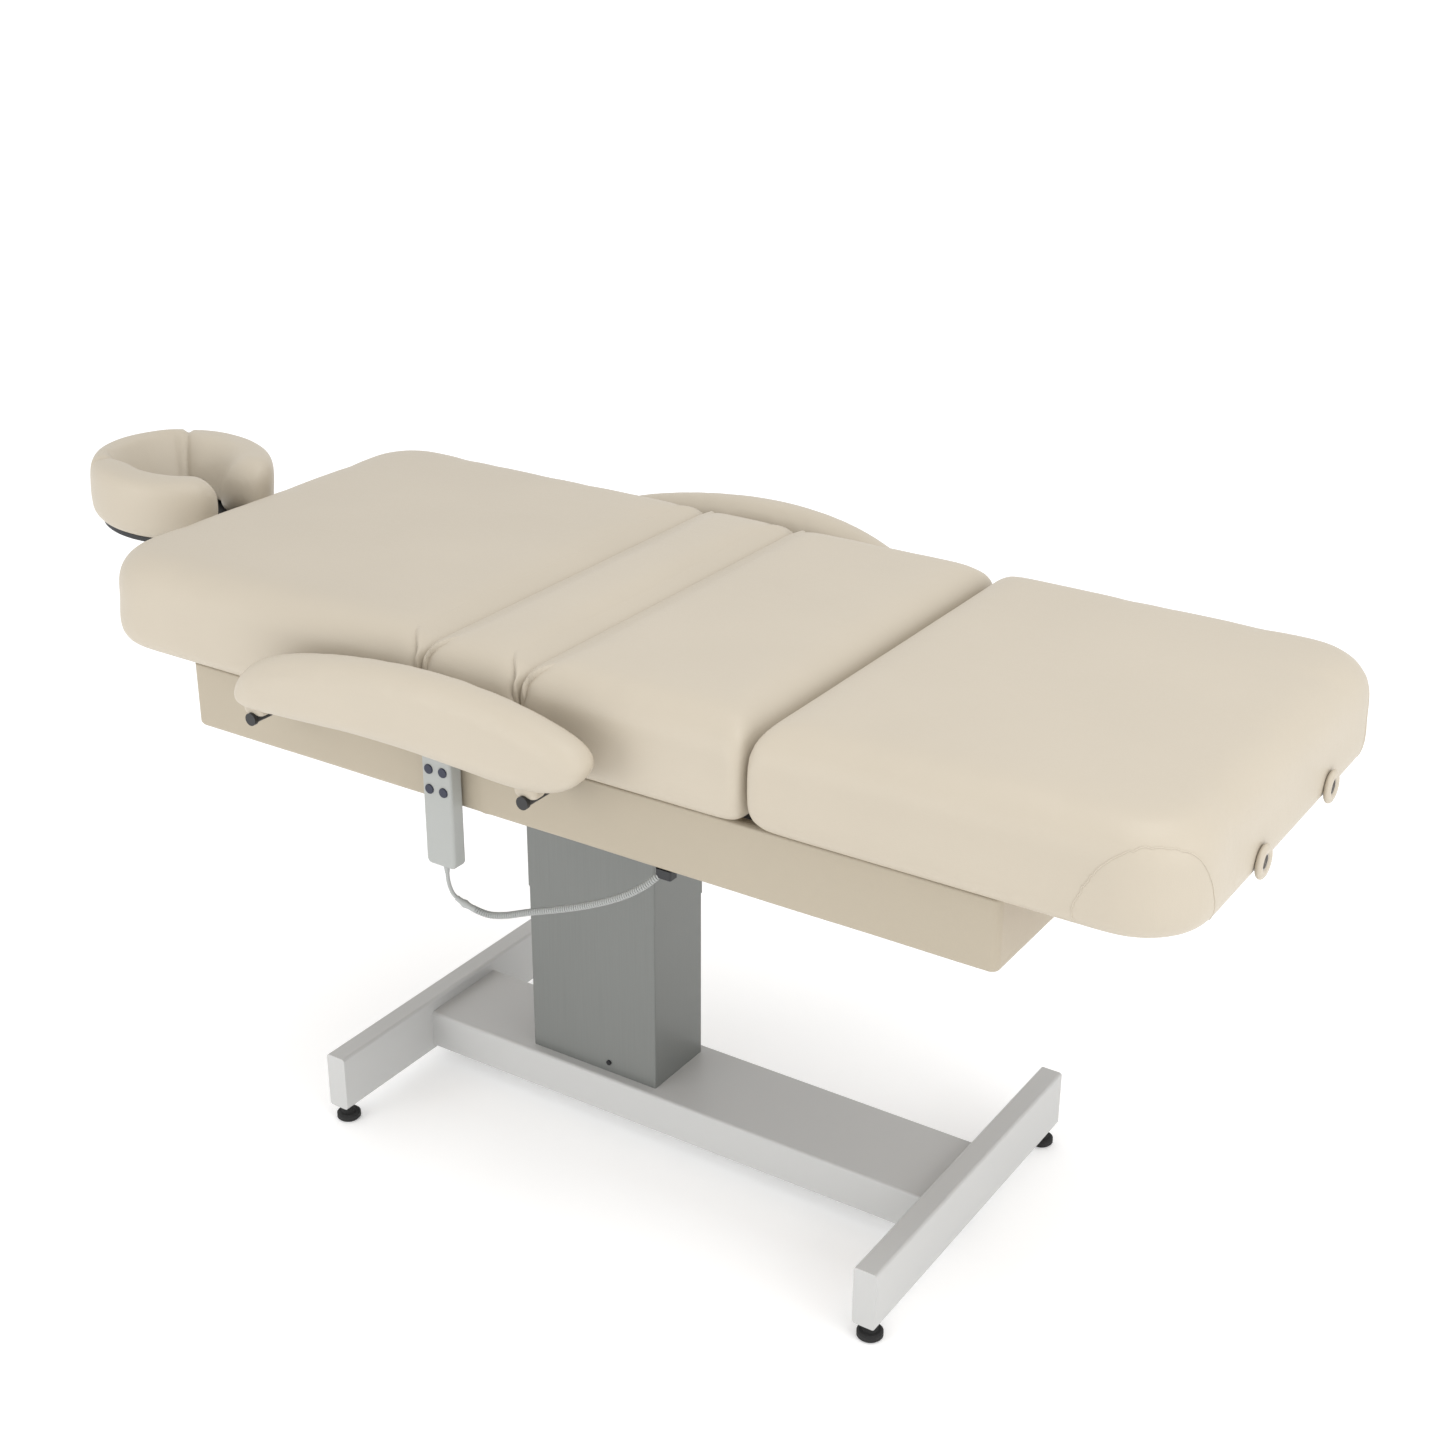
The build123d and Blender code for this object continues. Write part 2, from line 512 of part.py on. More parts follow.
def pad(start_x, end_x, head_end, foot_end, board, pocket_seams):
    """Foam pad in its cover: rounded sides, softer seam edges, a recess for its board."""
    start = start_x + (0 if head_end else SEAM_GAP / 2)
    end = end_x - (0 if foot_end else SEAM_GAP / 2)
    with BuildPart() as block:
        with BuildSketch(Plane.XY.offset(CUSHION_BOTTOM)):
            with Locations(((start + end) / 2, 0)):
                Rectangle(end - start, TOP_WIDTH)
        extrude(amount=CUSHION_THICKNESS)
        uprights = block.edges().filter_by(Axis.Z).group_by(Axis.X)
        if head_end:
            fillet(uprights[0], OUTER_CORNER_RADIUS)
        if foot_end:
            fillet(uprights[-1], OUTER_CORNER_RADIUS)
        seams = ([] if head_end else [start]) + ([] if foot_end else [end])
        for face_level, radius in ((TOP_HEIGHT, TOP_EDGE_RADIUS), (CUSHION_BOTTOM, BOTTOM_EDGE_RADIUS)):
            loop = block.edges().filter_by_position(Axis.Z, face_level - 0.01, face_level + 0.01)
            for seam in seams:
                at_seam = loop.filter_by_position(Axis.X, seam - 0.01, seam + 0.01)
                loop = ShapeList([edge for edge in loop if edge not in at_seam])
            fillet(loop, radius)
        for seam in seams:
            seam_face = block.faces().filter_by(Axis.X).filter_by_position(Axis.X, seam - 0.01, seam + 0.01)
            fillet(seam_face.edges(), SEAM_EDGE_RADIUS)
        add(board.part, mode=Mode.SUBTRACT)
        for seam in pocket_seams:
            inward = 1 if seam < (start + end) / 2 else -1
            with BuildSketch(Plane.XY.offset(CUSHION_BOTTOM)):
                pocket_x = seam + inward * POCKET_DEPTH / 2
                pocket_y = (POCKET_INNER_Y + POCKET_OUTER_Y) / 2
                with Locations((pocket_x, -pocket_y), (pocket_x, pocket_y)):
                    Rectangle(POCKET_DEPTH, POCKET_OUTER_Y - POCKET_INNER_Y)
            extrude(amount=POCKET_TOP - CUSHION_BOTTOM, mode=Mode.SUBTRACT)
    return block


back_board = board_outline(HEAD_END_X, BACK_SEAM_X, True, False, CUSHION_BOTTOM, BOARD_TOP)
seat_board = board_outline(BACK_SEAM_X, THIGH_SEAM_X, False, False, CROSSBAR_TOP, BOARD_TOP)
thigh_board = board_outline(THIGH_SEAM_X, KNEE_SEAM_X, False, False, CUSHION_BOTTOM, BOARD_TOP)
leg_board = board_outline(KNEE_SEAM_X, FOOT_END_X, False, True, CUSHION_BOTTOM, BOARD_TOP)

SOCKET_RADIUS = CRADLE_ROD_RADIUS + SOCKET_WALL


def socket_sleeves(mouth_x, inward):
    """Pair of steel sleeves let into the end of a pad for the face cradle's rods."""
    with BuildPart() as sleeves:
        with BuildSketch(end_plane(mouth_x - inward * SOCKET_LIP)):
            with Locations((-SOCKET_Y, SOCKET_Z), (SOCKET_Y, SOCKET_Z)):
                Circle(SOCKET_RADIUS)
                Circle(CRADLE_ROD_RADIUS + RUNNING_CLEARANCE, mode=Mode.SUBTRACT)
        extrude(amount=inward * (SOCKET_LENGTH + SOCKET_LIP))
    return sleeves


def bored_pad(whole, mouth_x, inward):
    """The same pad with the blind holes that its socket sleeves fill."""
    with BuildPart() as bored:
        add(whole.part)
        with BuildSketch(end_plane(mouth_x - inward * SOCKET_LIP)):
            with Locations((-SOCKET_Y, SOCKET_Z), (SOCKET_Y, SOCKET_Z)):
                Circle(SOCKET_RADIUS)
        extrude(amount=inward * (SOCKET_LENGTH + SOCKET_LIP), mode=Mode.SUBTRACT)
    return bored


head_sockets = socket_sleeves(HEAD_END_X, 1)
foot_sockets = socket_sleeves(FOOT_END_X, -1)
back_cushion = bored_pad(pad(HEAD_END_X, BACK_SEAM_X, True, False, back_board, [BACK_SEAM_X]), HEAD_END_X, 1)
seat_cushion = pad(BACK_SEAM_X, THIGH_SEAM_X, False, False, seat_board, [BACK_SEAM_X, THIGH_SEAM_X])
thigh_cushion = pad(THIGH_SEAM_X, KNEE_SEAM_X, False, False, thigh_board, [THIGH_SEAM_X])
leg_cushion = bored_pad(pad(KNEE_SEAM_X, FOOT_END_X, False, True, leg_board, []), FOOT_END_X, -1)

# ================================================================ section hinges
# Plate hinges in the seams: fixed arms stand on the crossbars, leaves reach under the boards.
HINGE_LAYERS = (HINGE_Y, HINGE_Y + HINGE_PLATE + SIDE_CLEARANCE)
HINGE_STRIP_GAP = 1.5
HINGE_ARM_DROP = 21.0
BACK_LEAF_REACH = 150.0
THIGH_LEAF_REACH = 148.0
HINGE_HEAD_RADIUS = 5.0
HINGE_HEAD_HEIGHT = 2.0


def hinge_plate(seam, inward, layer_y, foot_z, reach, hole_radius):
    """Upright strip beside a seam with its boss on the axis, and a foot bar if it has a reach."""
    strip_x = seam + inward * (HINGE_STRIP_GAP + HINGE_ARM_WIDTH / 2)
    with BuildPart() as plate:
        with BuildSketch(side_plane(-layer_y)):
            with Locations((strip_x, (foot_z + HINGE_Z) / 2)):
                Rectangle(HINGE_ARM_WIDTH, HINGE_Z - foot_z)
            with Locations((strip_x, HINGE_Z)):
                Circle(HINGE_BOSS_RADIUS)
            with Locations(((seam + strip_x) / 2, HINGE_Z)):
                Rectangle(abs(strip_x - seam), 2 * HINGE_BOSS_RADIUS)
            with Locations((seam, HINGE_Z)):
                Circle(HINGE_BOSS_RADIUS)
            if reach:
                bar_x = seam + inward * (HINGE_STRIP_GAP + reach / 2)
                with Locations((bar_x, CUSHION_BOTTOM - HINGE_ARM_DROP / 2)):
                    Rectangle(reach, HINGE_ARM_DROP)
            with Locations((seam, HINGE_Z)):
                Circle(hole_radius, mode=Mode.SUBTRACT)
        extrude(amount=HINGE_PLATE)
        mirror(about=Plane.XZ)
    return plate


LEAF_FOOT_Z = CUSHION_BOTTOM - HINGE_ARM_DROP
LEAF_HOLE = HINGE_PIN_RADIUS + RUNNING_CLEARANCE
with BuildPart() as hinge_arms:
    add(hinge_plate(BACK_SEAM_X, 1, HINGE_LAYERS[0], CROSSBAR_TOP, 0, HINGE_PIN_RADIUS).part)
    add(hinge_plate(THIGH_SEAM_X, -1, HINGE_LAYERS[0], CROSSBAR_TOP, 0, HINGE_PIN_RADIUS).part)
back_hinge_leaves = hinge_plate(BACK_SEAM_X, -1, HINGE_LAYERS[1], LEAF_FOOT_Z, BACK_LEAF_REACH, LEAF_HOLE)
thigh_hinge_leaves = hinge_plate(THIGH_SEAM_X, 1, HINGE_LAYERS[1], LEAF_FOOT_Z, THIGH_LEAF_REACH, LEAF_HOLE)
HINGE_PIN_LENGTH = 2 * HINGE_PLATE + 2 * SIDE_CLEARANCE
with BuildPart() as hinge_pins:
    with BuildSketch(side_plane(-HINGE_LAYERS[0])):
        with Locations((BACK_SEAM_X, HINGE_Z), (THIGH_SEAM_X, HINGE_Z)):
            Circle(HINGE_PIN_RADIUS)
    extrude(amount=HINGE_PIN_LENGTH)
    with BuildSketch(side_plane(-HINGE_LAYERS[0] - HINGE_PIN_LENGTH)):
        with Locations((BACK_SEAM_X, HINGE_Z), (THIGH_SEAM_X, HINGE_Z)):
            Circle(HINGE_HEAD_RADIUS)
    extrude(amount=HINGE_HEAD_HEIGHT)
    mirror(about=Plane.XZ)

# Butt hinges under the knee seam, leaf on leaf, with the barrel below the boards.
KNEE_Z = CUSHION_BOTTOM - KNEE_BARREL_RADIUS
KNEE_PIN_RADIUS = 3.0
KNEE_MIDDLE = 26.0


def knee_hinge(inward, knuckles, hole_radius):
    """Leaf under a board with its knuckles round the knee axis, on both sides of the couch."""
    with BuildPart() as leaf:
        with BuildSketch(Plane.XY.offset(CUSHION_BOTTOM - KNEE_LEAF_THICKNESS)):
            with Locations((KNEE_SEAM_X + inward * (KNEE_BARREL_RADIUS + KNEE_LEAF_LENGTH / 2), KNEE_HINGE_Y)):
                Rectangle(KNEE_LEAF_LENGTH, KNEE_HINGE_WIDTH)
            for low, high in knuckles:
                with Locations((KNEE_SEAM_X + inward * KNEE_BARREL_RADIUS, KNEE_HINGE_Y + (low + high) / 2)):
                    Rectangle(2 * KNEE_BARREL_RADIUS, high - low)
        extrude(amount=KNEE_LEAF_THICKNESS)
        for low, high in knuckles:
            with BuildSketch(side_plane(KNEE_HINGE_Y + high)):
                with Locations((KNEE_SEAM_X, KNEE_Z)):
                    Circle(KNEE_BARREL_RADIUS)
            extrude(amount=high - low)
        with BuildSketch(side_plane(KNEE_HINGE_Y + KNEE_HINGE_WIDTH)):
            with Locations((KNEE_SEAM_X, KNEE_Z)):
                Circle(hole_radius)
        extrude(amount=2 * KNEE_HINGE_WIDTH, mode=Mode.SUBTRACT)
        mirror(about=Plane.XZ)
    return leaf


KNEE_HALF = KNEE_HINGE_WIDTH / 2
OUTER_KNUCKLE = KNEE_MIDDLE / 2 + SIDE_CLEARANCE
thigh_knee_leaves = knee_hinge(-1, [(-KNEE_HALF, -OUTER_KNUCKLE), (OUTER_KNUCKLE, KNEE_HALF)], KNEE_PIN_RADIUS)
leg_knee_leaves = knee_hinge(1, [(-KNEE_MIDDLE / 2, KNEE_MIDDLE / 2)], KNEE_PIN_RADIUS + RUNNING_CLEARANCE)
with BuildPart() as knee_pins:
    with BuildSketch(side_plane(KNEE_HINGE_Y + KNEE_HALF)):
        with Locations((KNEE_SEAM_X, KNEE_Z)):
            Circle(KNEE_PIN_RADIUS)
    extrude(amount=KNEE_HINGE_WIDTH)
    mirror(about=Plane.XZ)

# ================================================================ actuators
LUG_HALF_WIDTH = 10.0
EAR_THICKNESS = 6.0
EAR_GAP = 0.5
EAR_SETBACK = 4.0
EAR_LEG_GAP = 1.0
BODY_START = 16.0
ROD_END_GAP = 3.0
PIN_CLEARANCE = 0.05


def actuator(pivot, lug):
    """Body with its eye on the pivot, and a rod whose open fork straddles the lug."""
    reach = (Vector(lug[0], 0, lug[1]) - Vector(pivot[0], 0, pivot[1])).length
    angle = Vector(1, 0, 0).get_signed_angle(Vector(lug[0] - pivot[0], 0, lug[1] - pivot[1]), Vector(0, 1, 0))
    body_end = reach - FORK_DEPTH - FORK_CROWN - ROD_END_GAP
    place = Location((pivot[0], 0, pivot[1]), (0, angle, 0))
    with BuildPart(mode=Mode.PRIVATE) as body:
        with BuildSketch(side_plane(LUG_THICKNESS / 2)):
            Circle(EYE_RADIUS)
            with Locations((BODY_START / 2 + 1, 0)):
                Rectangle(BODY_START + 2, 2 * EYE_RADIUS)
            Circle(ACTUATOR_PIN_RADIUS + PIN_CLEARANCE, mode=Mode.SUBTRACT)
        extrude(amount=LUG_THICKNESS)
        with BuildSketch(end_plane(BODY_START)):
            Circle(ACTUATOR_RADIUS)
        extrude(amount=body_end - BODY_START)
        chamfer(body.edges().filter_by(GeomType.CIRCLE).sort_by(Axis.X)[-1], 2)
        with BuildSketch(end_plane(BODY_START + FORK_CROWN)):
            Circle(ROD_RADIUS + RUNNING_CLEARANCE)
        extrude(amount=body_end - BODY_START - FORK_CROWN, mode=Mode.SUBTRACT)
    with BuildPart(mode=Mode.PRIVATE) as rod:
        rod_start = BODY_START + FORK_CROWN + ROD_END_GAP
        with BuildSketch(end_plane(rod_start)):
            Circle(ROD_RADIUS)
        extrude(amount=reach - FORK_DEPTH - FORK_CROWN - rod_start)
        fork_width = LUG_THICKNESS + 2 * LUG_GAP + 2 * FORK_CHEEK
        with BuildSketch(side_plane(fork_width / 2)):
            with Locations((reach - (FORK_DEPTH + FORK_CROWN) / 2, 0)):
                Rectangle(FORK_DEPTH + FORK_CROWN, 2 * EYE_RADIUS)
            with Locations((reach, 0)):
                Circle(EYE_RADIUS)
                Circle(ACTUATOR_PIN_RADIUS, mode=Mode.SUBTRACT)
        extrude(amount=fork_width)
        with BuildSketch(side_plane(LUG_THICKNESS / 2 + LUG_GAP)):
            with Locations((reach - FORK_DEPTH + reach / 2, 0)):
                Rectangle(reach, 4 * EYE_RADIUS)
        extrude(amount=LUG_THICKNESS + 2 * LUG_GAP, mode=Mode.SUBTRACT)
    return place * body.part, place * rod.part


def lug_plate(lug):
    """Plate under a board, rounded about the point the fork straddles."""
    with BuildPart() as plate:
        with BuildSketch(side_plane(LUG_THICKNESS / 2)):
            with Locations((lug[0], (lug[1] + CUSHION_BOTTOM) / 2)):
                Rectangle(2 * LUG_HALF_WIDTH, CUSHION_BOTTOM - lug[1])
            with Locations((lug[0], lug[1])):
                Circle(LUG_HALF_WIDTH)
                Circle(ACTUATOR_PIN_RADIUS, mode=Mode.SUBTRACT)
        extrude(amount=LUG_THICKNESS)
    return plate


def ears(pivot, plate_edge_x):
    """Two ears on the head plate, either side of an actuator's eye, and the pin through them."""
    outward = -1 if pivot[0] < plate_edge_x else 1
    inner_x = plate_edge_x - outward * EYE_RADIUS * 3
    tip_x = pivot[0] - outward * EAR_SETBACK
    leg_x = plate_edge_x + outward * EAR_LEG_GAP
    top = max(pivot[1], RAIL_BOTTOM) + EYE_RADIUS
    ear_y = LUG_THICKNESS / 2 + EAR_GAP
    with BuildPart() as pair:
        with BuildSketch(side_plane(-ear_y)):
            with Locations(((tip_x + inner_x) / 2, (RAIL_BOTTOM + top) / 2)):
                Rectangle(abs(tip_x - inner_x), top - RAIL_BOTTOM)
            with Locations(((tip_x + leg_x) / 2, (pivot[1] + top) / 2)):
                Rectangle(abs(tip_x - leg_x), top - pivot[1])
            with Locations(pivot):
                Circle(EYE_RADIUS)
                Circle(ACTUATOR_PIN_RADIUS, mode=Mode.SUBTRACT)
        extrude(amount=EAR_THICKNESS)
        mirror(about=Plane.XZ)
    with BuildPart() as pin:
        with BuildSketch(side_plane(ear_y + EAR_THICKNESS)):
            with Locations(pivot):
                Circle(ACTUATOR_PIN_RADIUS)
        extrude(amount=2 * (ear_y + EAR_THICKNESS))
    return pair, pin


HEAD_PLATE_HALF = (COVER_LENGTH + UPPER_COVER_STEP) / 2
back_ears, back_actuator_pin = ears(BACK_PIVOT, COLUMN_X - HEAD_PLATE_HALF)
knee_ears, knee_actuator_pin = ears(KNEE_PIVOT, COLUMN_X + HEAD_PLATE_HALF)
head_plate_blank = lift_head_plate.part
with BuildPart() as lift_head_plate:
    add(head_plate_blank)
    add(back_ears.part)
    add(knee_ears.part)
steel_pins = hinge_pins.part
with BuildPart() as hinge_pins:
    add(steel_pins)
    add(back_actuator_pin.part)
    add(knee_actuator_pin.part)
with BuildPart() as back_brackets:
    add(back_hinge_leaves.part)
    add(lug_plate(BACK_LUG).part)
with BuildPart() as thigh_brackets:
    add(thigh_hinge_leaves.part)
    add(thigh_knee_leaves.part)
    add(lug_plate(KNEE_LUG).part)
back_body_solid, back_rod_solid = actuator(BACK_PIVOT, BACK_LUG)
knee_body_solid, knee_rod_solid = actuator(KNEE_PIVOT, KNEE_LUG)
with BuildPart() as back_actuator_body:
    add(back_body_solid)
with BuildPart() as back_actuator_rod:
    add(back_rod_solid)
with BuildPart() as knee_spring_body:
    add(knee_body_solid)
with BuildPart() as knee_spring_rod:
    add(knee_rod_solid)

# ================================================================ armrests
# Arched pads on two tubes each; the tubes slide in sleeves lying on the rails.
ARM_SLEEVE_OUTER_Y = CROSSBAR_HALF - 1.0
with BuildPart() as armrest_sleeves:
    with BuildSketch(side_plane(ARM_SLEEVE_OUTER_Y)):
        with Locations(*[(x, ARM_TUBE_Z) for x in ARM_TUBE_X]):
            Circle(ARM_TUBE_RADIUS + RUNNING_CLEARANCE + ARM_SLEEVE_WALL)
            Circle(ARM_TUBE_RADIUS + RUNNING_CLEARANCE, mode=Mode.SUBTRACT)
    extrude(amount=ARM_SLEEVE_LENGTH)
    mirror(about=Plane.XZ)

ARM_TUBE_WALL = 1.5
ARM_SADDLE_TOP = ARM_TUBE_Z + 42.0
ARM_SADDLE_Y = ARM_TUBE_OUTER_Y - ARM_SADDLE_WIDTH / 2
ARM_OUTLINE = ((-520, 818), (-478, 890), (-400, 926), (-270, 950), (-125, 962), (10, 947), (97, 916),
               (128, 870), (60, 818))
lean_up = Vector(0, -sin(radians(ARM_LEAN)), cos(radians(ARM_LEAN)))
arm_plane = Plane(origin=(0, -ARM_FOOT_Y, ARM_FOOT_Z), x_dir=(1, 0, 0), z_dir=Vector(1, 0, 0).cross(lean_up))


def along_lean(point):
    """Height above the floor turned into a distance up the leaning middle plane of an armrest."""
    return (point[0], (point[1] - ARM_FOOT_Z) / cos(radians(ARM_LEAN)))


with BuildPart() as arm_saddles_near:
    with BuildSketch(Plane.XY.offset(ARM_TUBE_Z)):
        with Locations(*[(x, -ARM_SADDLE_Y) for x in ARM_TUBE_X]):
            Rectangle(ARM_SADDLE_LENGTH, ARM_SADDLE_WIDTH)
    extrude(amount=ARM_SADDLE_TOP - ARM_TUBE_Z)
    with BuildSketch(side_plane(-ARM_TUBE_INNER_Y)):
        with Locations(*[(x, ARM_TUBE_Z) for x in ARM_TUBE_X]):
            Circle(ARM_TUBE_RADIUS)
    extrude(amount=ARM_TUBE_OUTER_Y - ARM_TUBE_INNER_Y, mode=Mode.SUBTRACT)

with BuildPart() as arm_tubes_near:
    with BuildSketch(side_plane(-ARM_TUBE_INNER_Y)):
        with Locations(*[(x, ARM_TUBE_Z) for x in ARM_TUBE_X]):
            Circle(ARM_TUBE_RADIUS)
            Circle(ARM_TUBE_RADIUS - ARM_TUBE_WALL, mode=Mode.SUBTRACT)
    extrude(amount=ARM_TUBE_OUTER_Y - ARM_TUBE_INNER_Y)

with BuildPart() as arm_caps_near:
    with BuildSketch(side_plane(-ARM_TUBE_OUTER_Y)):
        with Locations(*[(x, ARM_TUBE_Z) for x in ARM_TUBE_X]):
            Circle(ARM_CAP_RADIUS)
    extrude(amount=ARM_CAP_LENGTH)
    with BuildSketch(side_plane(-ARM_TUBE_OUTER_Y)):
        with Locations(*[(x, ARM_TUBE_Z) for x in ARM_TUBE_X]):
            Circle(ARM_TUBE_RADIUS - ARM_TUBE_WALL)
    extrude(amount=-2 * ARM_CAP_LENGTH)

with BuildPart() as arm_pad_near:
    with BuildSketch(arm_plane):
        with BuildLine():
            Polyline(*[along_lean(point) for point in ARM_OUTLINE], close=True)
        make_face()
    extrude(amount=ARM_THICKNESS / 2, both=True)
    face_edges = [edge for edge in arm_pad_near.edges() if abs(edge.tangent_at(0.5).dot(arm_plane.z_dir)) < 0.5]
    fillet(face_edges, ARM_EDGE_RADIUS)
    add(arm_saddles_near.part, mode=Mode.SUBTRACT)

with BuildPart() as arm_frame_near:
    add(arm_saddles_near.part)
    add(arm_tubes_near.part)

# The far armrest is the near one mirrored.
far = {}
for name, piece in (("pad", arm_pad_near), ("frame", arm_frame_near), ("caps", arm_caps_near)):
    with BuildPart() as mirrored:
        add(mirror(piece.part, about=Plane.XZ))
    far[name] = mirrored

# ================================================================ face cradle
# Two rods in the head-end sockets carry a bar with ears; the platform tilts on them.
BAR_HALF = SOCKET_Y + 20.0
CRADLE_EAR_Y = 84.0
CRADLE_EAR_THICKNESS = 6.0
CRADLE_LUG_RADIUS = 9.0
CRADLE_PIVOT_Z = SOCKET_Z + CRADLE_BAR_SIZE / 2 + CRADLE_LUG_RADIUS + 1.0
CRADLE_PLATFORM_BOTTOM = CRADLE_BOTTOM - CRADLE_PLATE_THICKNESS
CRADLE_LUG_Y = CRADLE_EAR_Y + CRADLE_EAR_THICKNESS + SIDE_CLEARANCE
with BuildPart() as cradle_frame:
    with BuildSketch(end_plane(CRADLE_BAR_X)):
        with Locations((-SOCKET_Y, SOCKET_Z), (SOCKET_Y, SOCKET_Z)):
            Circle(CRADLE_ROD_RADIUS)
    extrude(amount=HEAD_END_X + CRADLE_ROD_INSERTION - CRADLE_BAR_X)
    with BuildSketch(side_plane(BAR_HALF)):
        with Locations((CRADLE_BAR_X, SOCKET_Z)):
            RectangleRounded(CRADLE_BAR_SIZE, CRADLE_BAR_SIZE, 3)
    extrude(amount=2 * BAR_HALF)
    for ear_y in (CRADLE_EAR_Y + CRADLE_EAR_THICKNESS, -CRADLE_EAR_Y):
        with BuildSketch(side_plane(ear_y)):
            with Locations((CRADLE_BAR_X, (SOCKET_Z + CRADLE_PIVOT_Z) / 2)):
                Rectangle(2 * CRADLE_LUG_RADIUS, CRADLE_PIVOT_Z - SOCKET_Z)
            with Locations((CRADLE_BAR_X, CRADLE_PIVOT_Z)):
                Circle(CRADLE_LUG_RADIUS)
        extrude(amount=CRADLE_EAR_THICKNESS)
    with BuildSketch(side_plane(BAR_HALF)):
        with Locations((CRADLE_BAR_X, CRADLE_PIVOT_Z)):
            Circle(CRADLE_PIVOT_RADIUS)
    extrude(amount=2 * BAR_HALF, mode=Mode.SUBTRACT)

CRADLE_PIN_LENGTH = 2 * CRADLE_EAR_THICKNESS + 2 * SIDE_CLEARANCE
CRADLE_PIN_HEAD = 3.0
with BuildPart() as cradle_pins:
    with BuildSketch(side_plane(-CRADLE_EAR_Y)):
        with Locations((CRADLE_BAR_X, CRADLE_PIVOT_Z)):
            Circle(CRADLE_PIVOT_RADIUS)
    extrude(amount=CRADLE_PIN_LENGTH)
    with BuildSketch(side_plane(-CRADLE_EAR_Y - CRADLE_PIN_LENGTH)):
        with Locations((CRADLE_BAR_X, CRADLE_PIVOT_Z)):
            Circle(CRADLE_PIVOT_RADIUS + CRADLE_PIN_HEAD)
    extrude(amount=CRADLE_PIN_HEAD)
    mirror(about=Plane.XZ)
welded_frame = cradle_frame.part
with BuildPart() as cradle_frame:
    add(welded_frame)
    add(cradle_pins.part)


def horseshoe(outer, inner, mouth, corner):
    """Ring open towards the couch, its four mouth corners rounded."""
    with BuildSketch(Plane.XY) as ring:
        with Locations((CRADLE_CENTRE_X, 0)):
            Circle(outer)
            Circle(inner, mode=Mode.SUBTRACT)
            with Locations((outer / 2, 0)):
                Rectangle(outer, mouth, mode=Mode.SUBTRACT)
        fillet(ring.vertices().filter_by(lambda corner_point: corner_point.X > CRADLE_CENTRE_X + 1), corner)
    return ring.sketch


LOBE_CORNER = 34.0
with BuildPart() as cradle_cushion:
    with BuildSketch(Plane.XY.offset(CRADLE_BOTTOM)):
        add(horseshoe(CRADLE_OUTER_RADIUS, CRADLE_INNER_RADIUS, CRADLE_MOUTH_WIDTH, LOBE_CORNER))
    extrude(amount=CRADLE_HEIGHT)
    ring_edges = cradle_cushion.faces().filter_by(Axis.Z).edges()
    fillet(ring_edges, CRADLE_EDGE_RADIUS)

with BuildPart() as cradle_platform:
    with BuildSketch(Plane.XY.offset(CRADLE_PLATFORM_BOTTOM)):
        with Locations((CRADLE_CENTRE_X, 0)):
            Circle(CRADLE_OUTER_RADIUS - CRADLE_PLATE_INSET)
            Circle(CRADLE_INNER_RADIUS + CRADLE_PLATE_INSET, mode=Mode.SUBTRACT)
    extrude(amount=CRADLE_PLATE_THICKNESS)
    with BuildSketch(side_plane(-CRADLE_LUG_Y)):
        with Locations((CRADLE_BAR_X, (CRADLE_PIVOT_Z + CRADLE_PLATFORM_BOTTOM) / 2)):
            Rectangle(2 * CRADLE_LUG_RADIUS, CRADLE_PLATFORM_BOTTOM - CRADLE_PIVOT_Z)
        with Locations((CRADLE_BAR_X, CRADLE_PIVOT_Z)):
            Circle(CRADLE_LUG_RADIUS)
    extrude(amount=CRADLE_EAR_THICKNESS)
    with BuildSketch(side_plane(-CRADLE_LUG_Y)):
        with Locations((CRADLE_BAR_X, CRADLE_PIVOT_Z)):
            Circle(CRADLE_PIVOT_RADIUS + RUNNING_CLEARANCE)
    extrude(amount=CRADLE_EAR_THICKNESS, mode=Mode.SUBTRACT)
level_platform = cradle_platform.part
level_cushion = cradle_cushion.part
pivot_place = Location((CRADLE_BAR_X, 0, CRADLE_PIVOT_Z))
tilted = pivot_place * Location((0, 0, 0), (0, CRADLE_TILT, 0)) * pivot_place.inverse()
with BuildPart() as cradle_platform:
    add(level_platform.moved(tilted))
    mirror(about=Plane.XZ)
with BuildPart() as cradle_cushion:
    add(level_cushion.moved(tilted))

# ================================================================ handset
# Moulded handset hung on a plate on the apron, with four round keys in two rows.
HANDSET_FRONT_Y = HANDSET_BACK_Y - HANDSET_DEPTH
HANDSET_TOP = HANDSET_BOTTOM + HANDSET_LENGTH
HANDSET_EDGE = 5.0
BUTTON_CLEARANCE = 0.1
BUTTON_POCKET = 5.0
BUTTON_BACK_GAP = 0.3
button_places = [(HANDSET_X + side * BUTTON_PITCH_X / 2, row) for row in BUTTON_ROWS_Z for side in (-1, 1)]
with BuildPart() as handset_shell:
    with BuildSketch(side_plane(HANDSET_BACK_Y)):
        with Locations((HANDSET_X, (HANDSET_BOTTOM + HANDSET_TOP) / 2)):
            RectangleRounded(HANDSET_WIDTH, HANDSET_LENGTH, HANDSET_CORNER)
    extrude(amount=HANDSET_DEPTH)
    fillet(handset_shell.faces().filter_by(Axis.Y).edges(), HANDSET_EDGE)
    with BuildSketch(side_plane(HANDSET_FRONT_Y + BUTTON_POCKET)):
        with Locations(*button_places):
            Circle(BUTTON_RADIUS + BUTTON_CLEARANCE)
    extrude(amount=BUTTON_POCKET, mode=Mode.SUBTRACT)

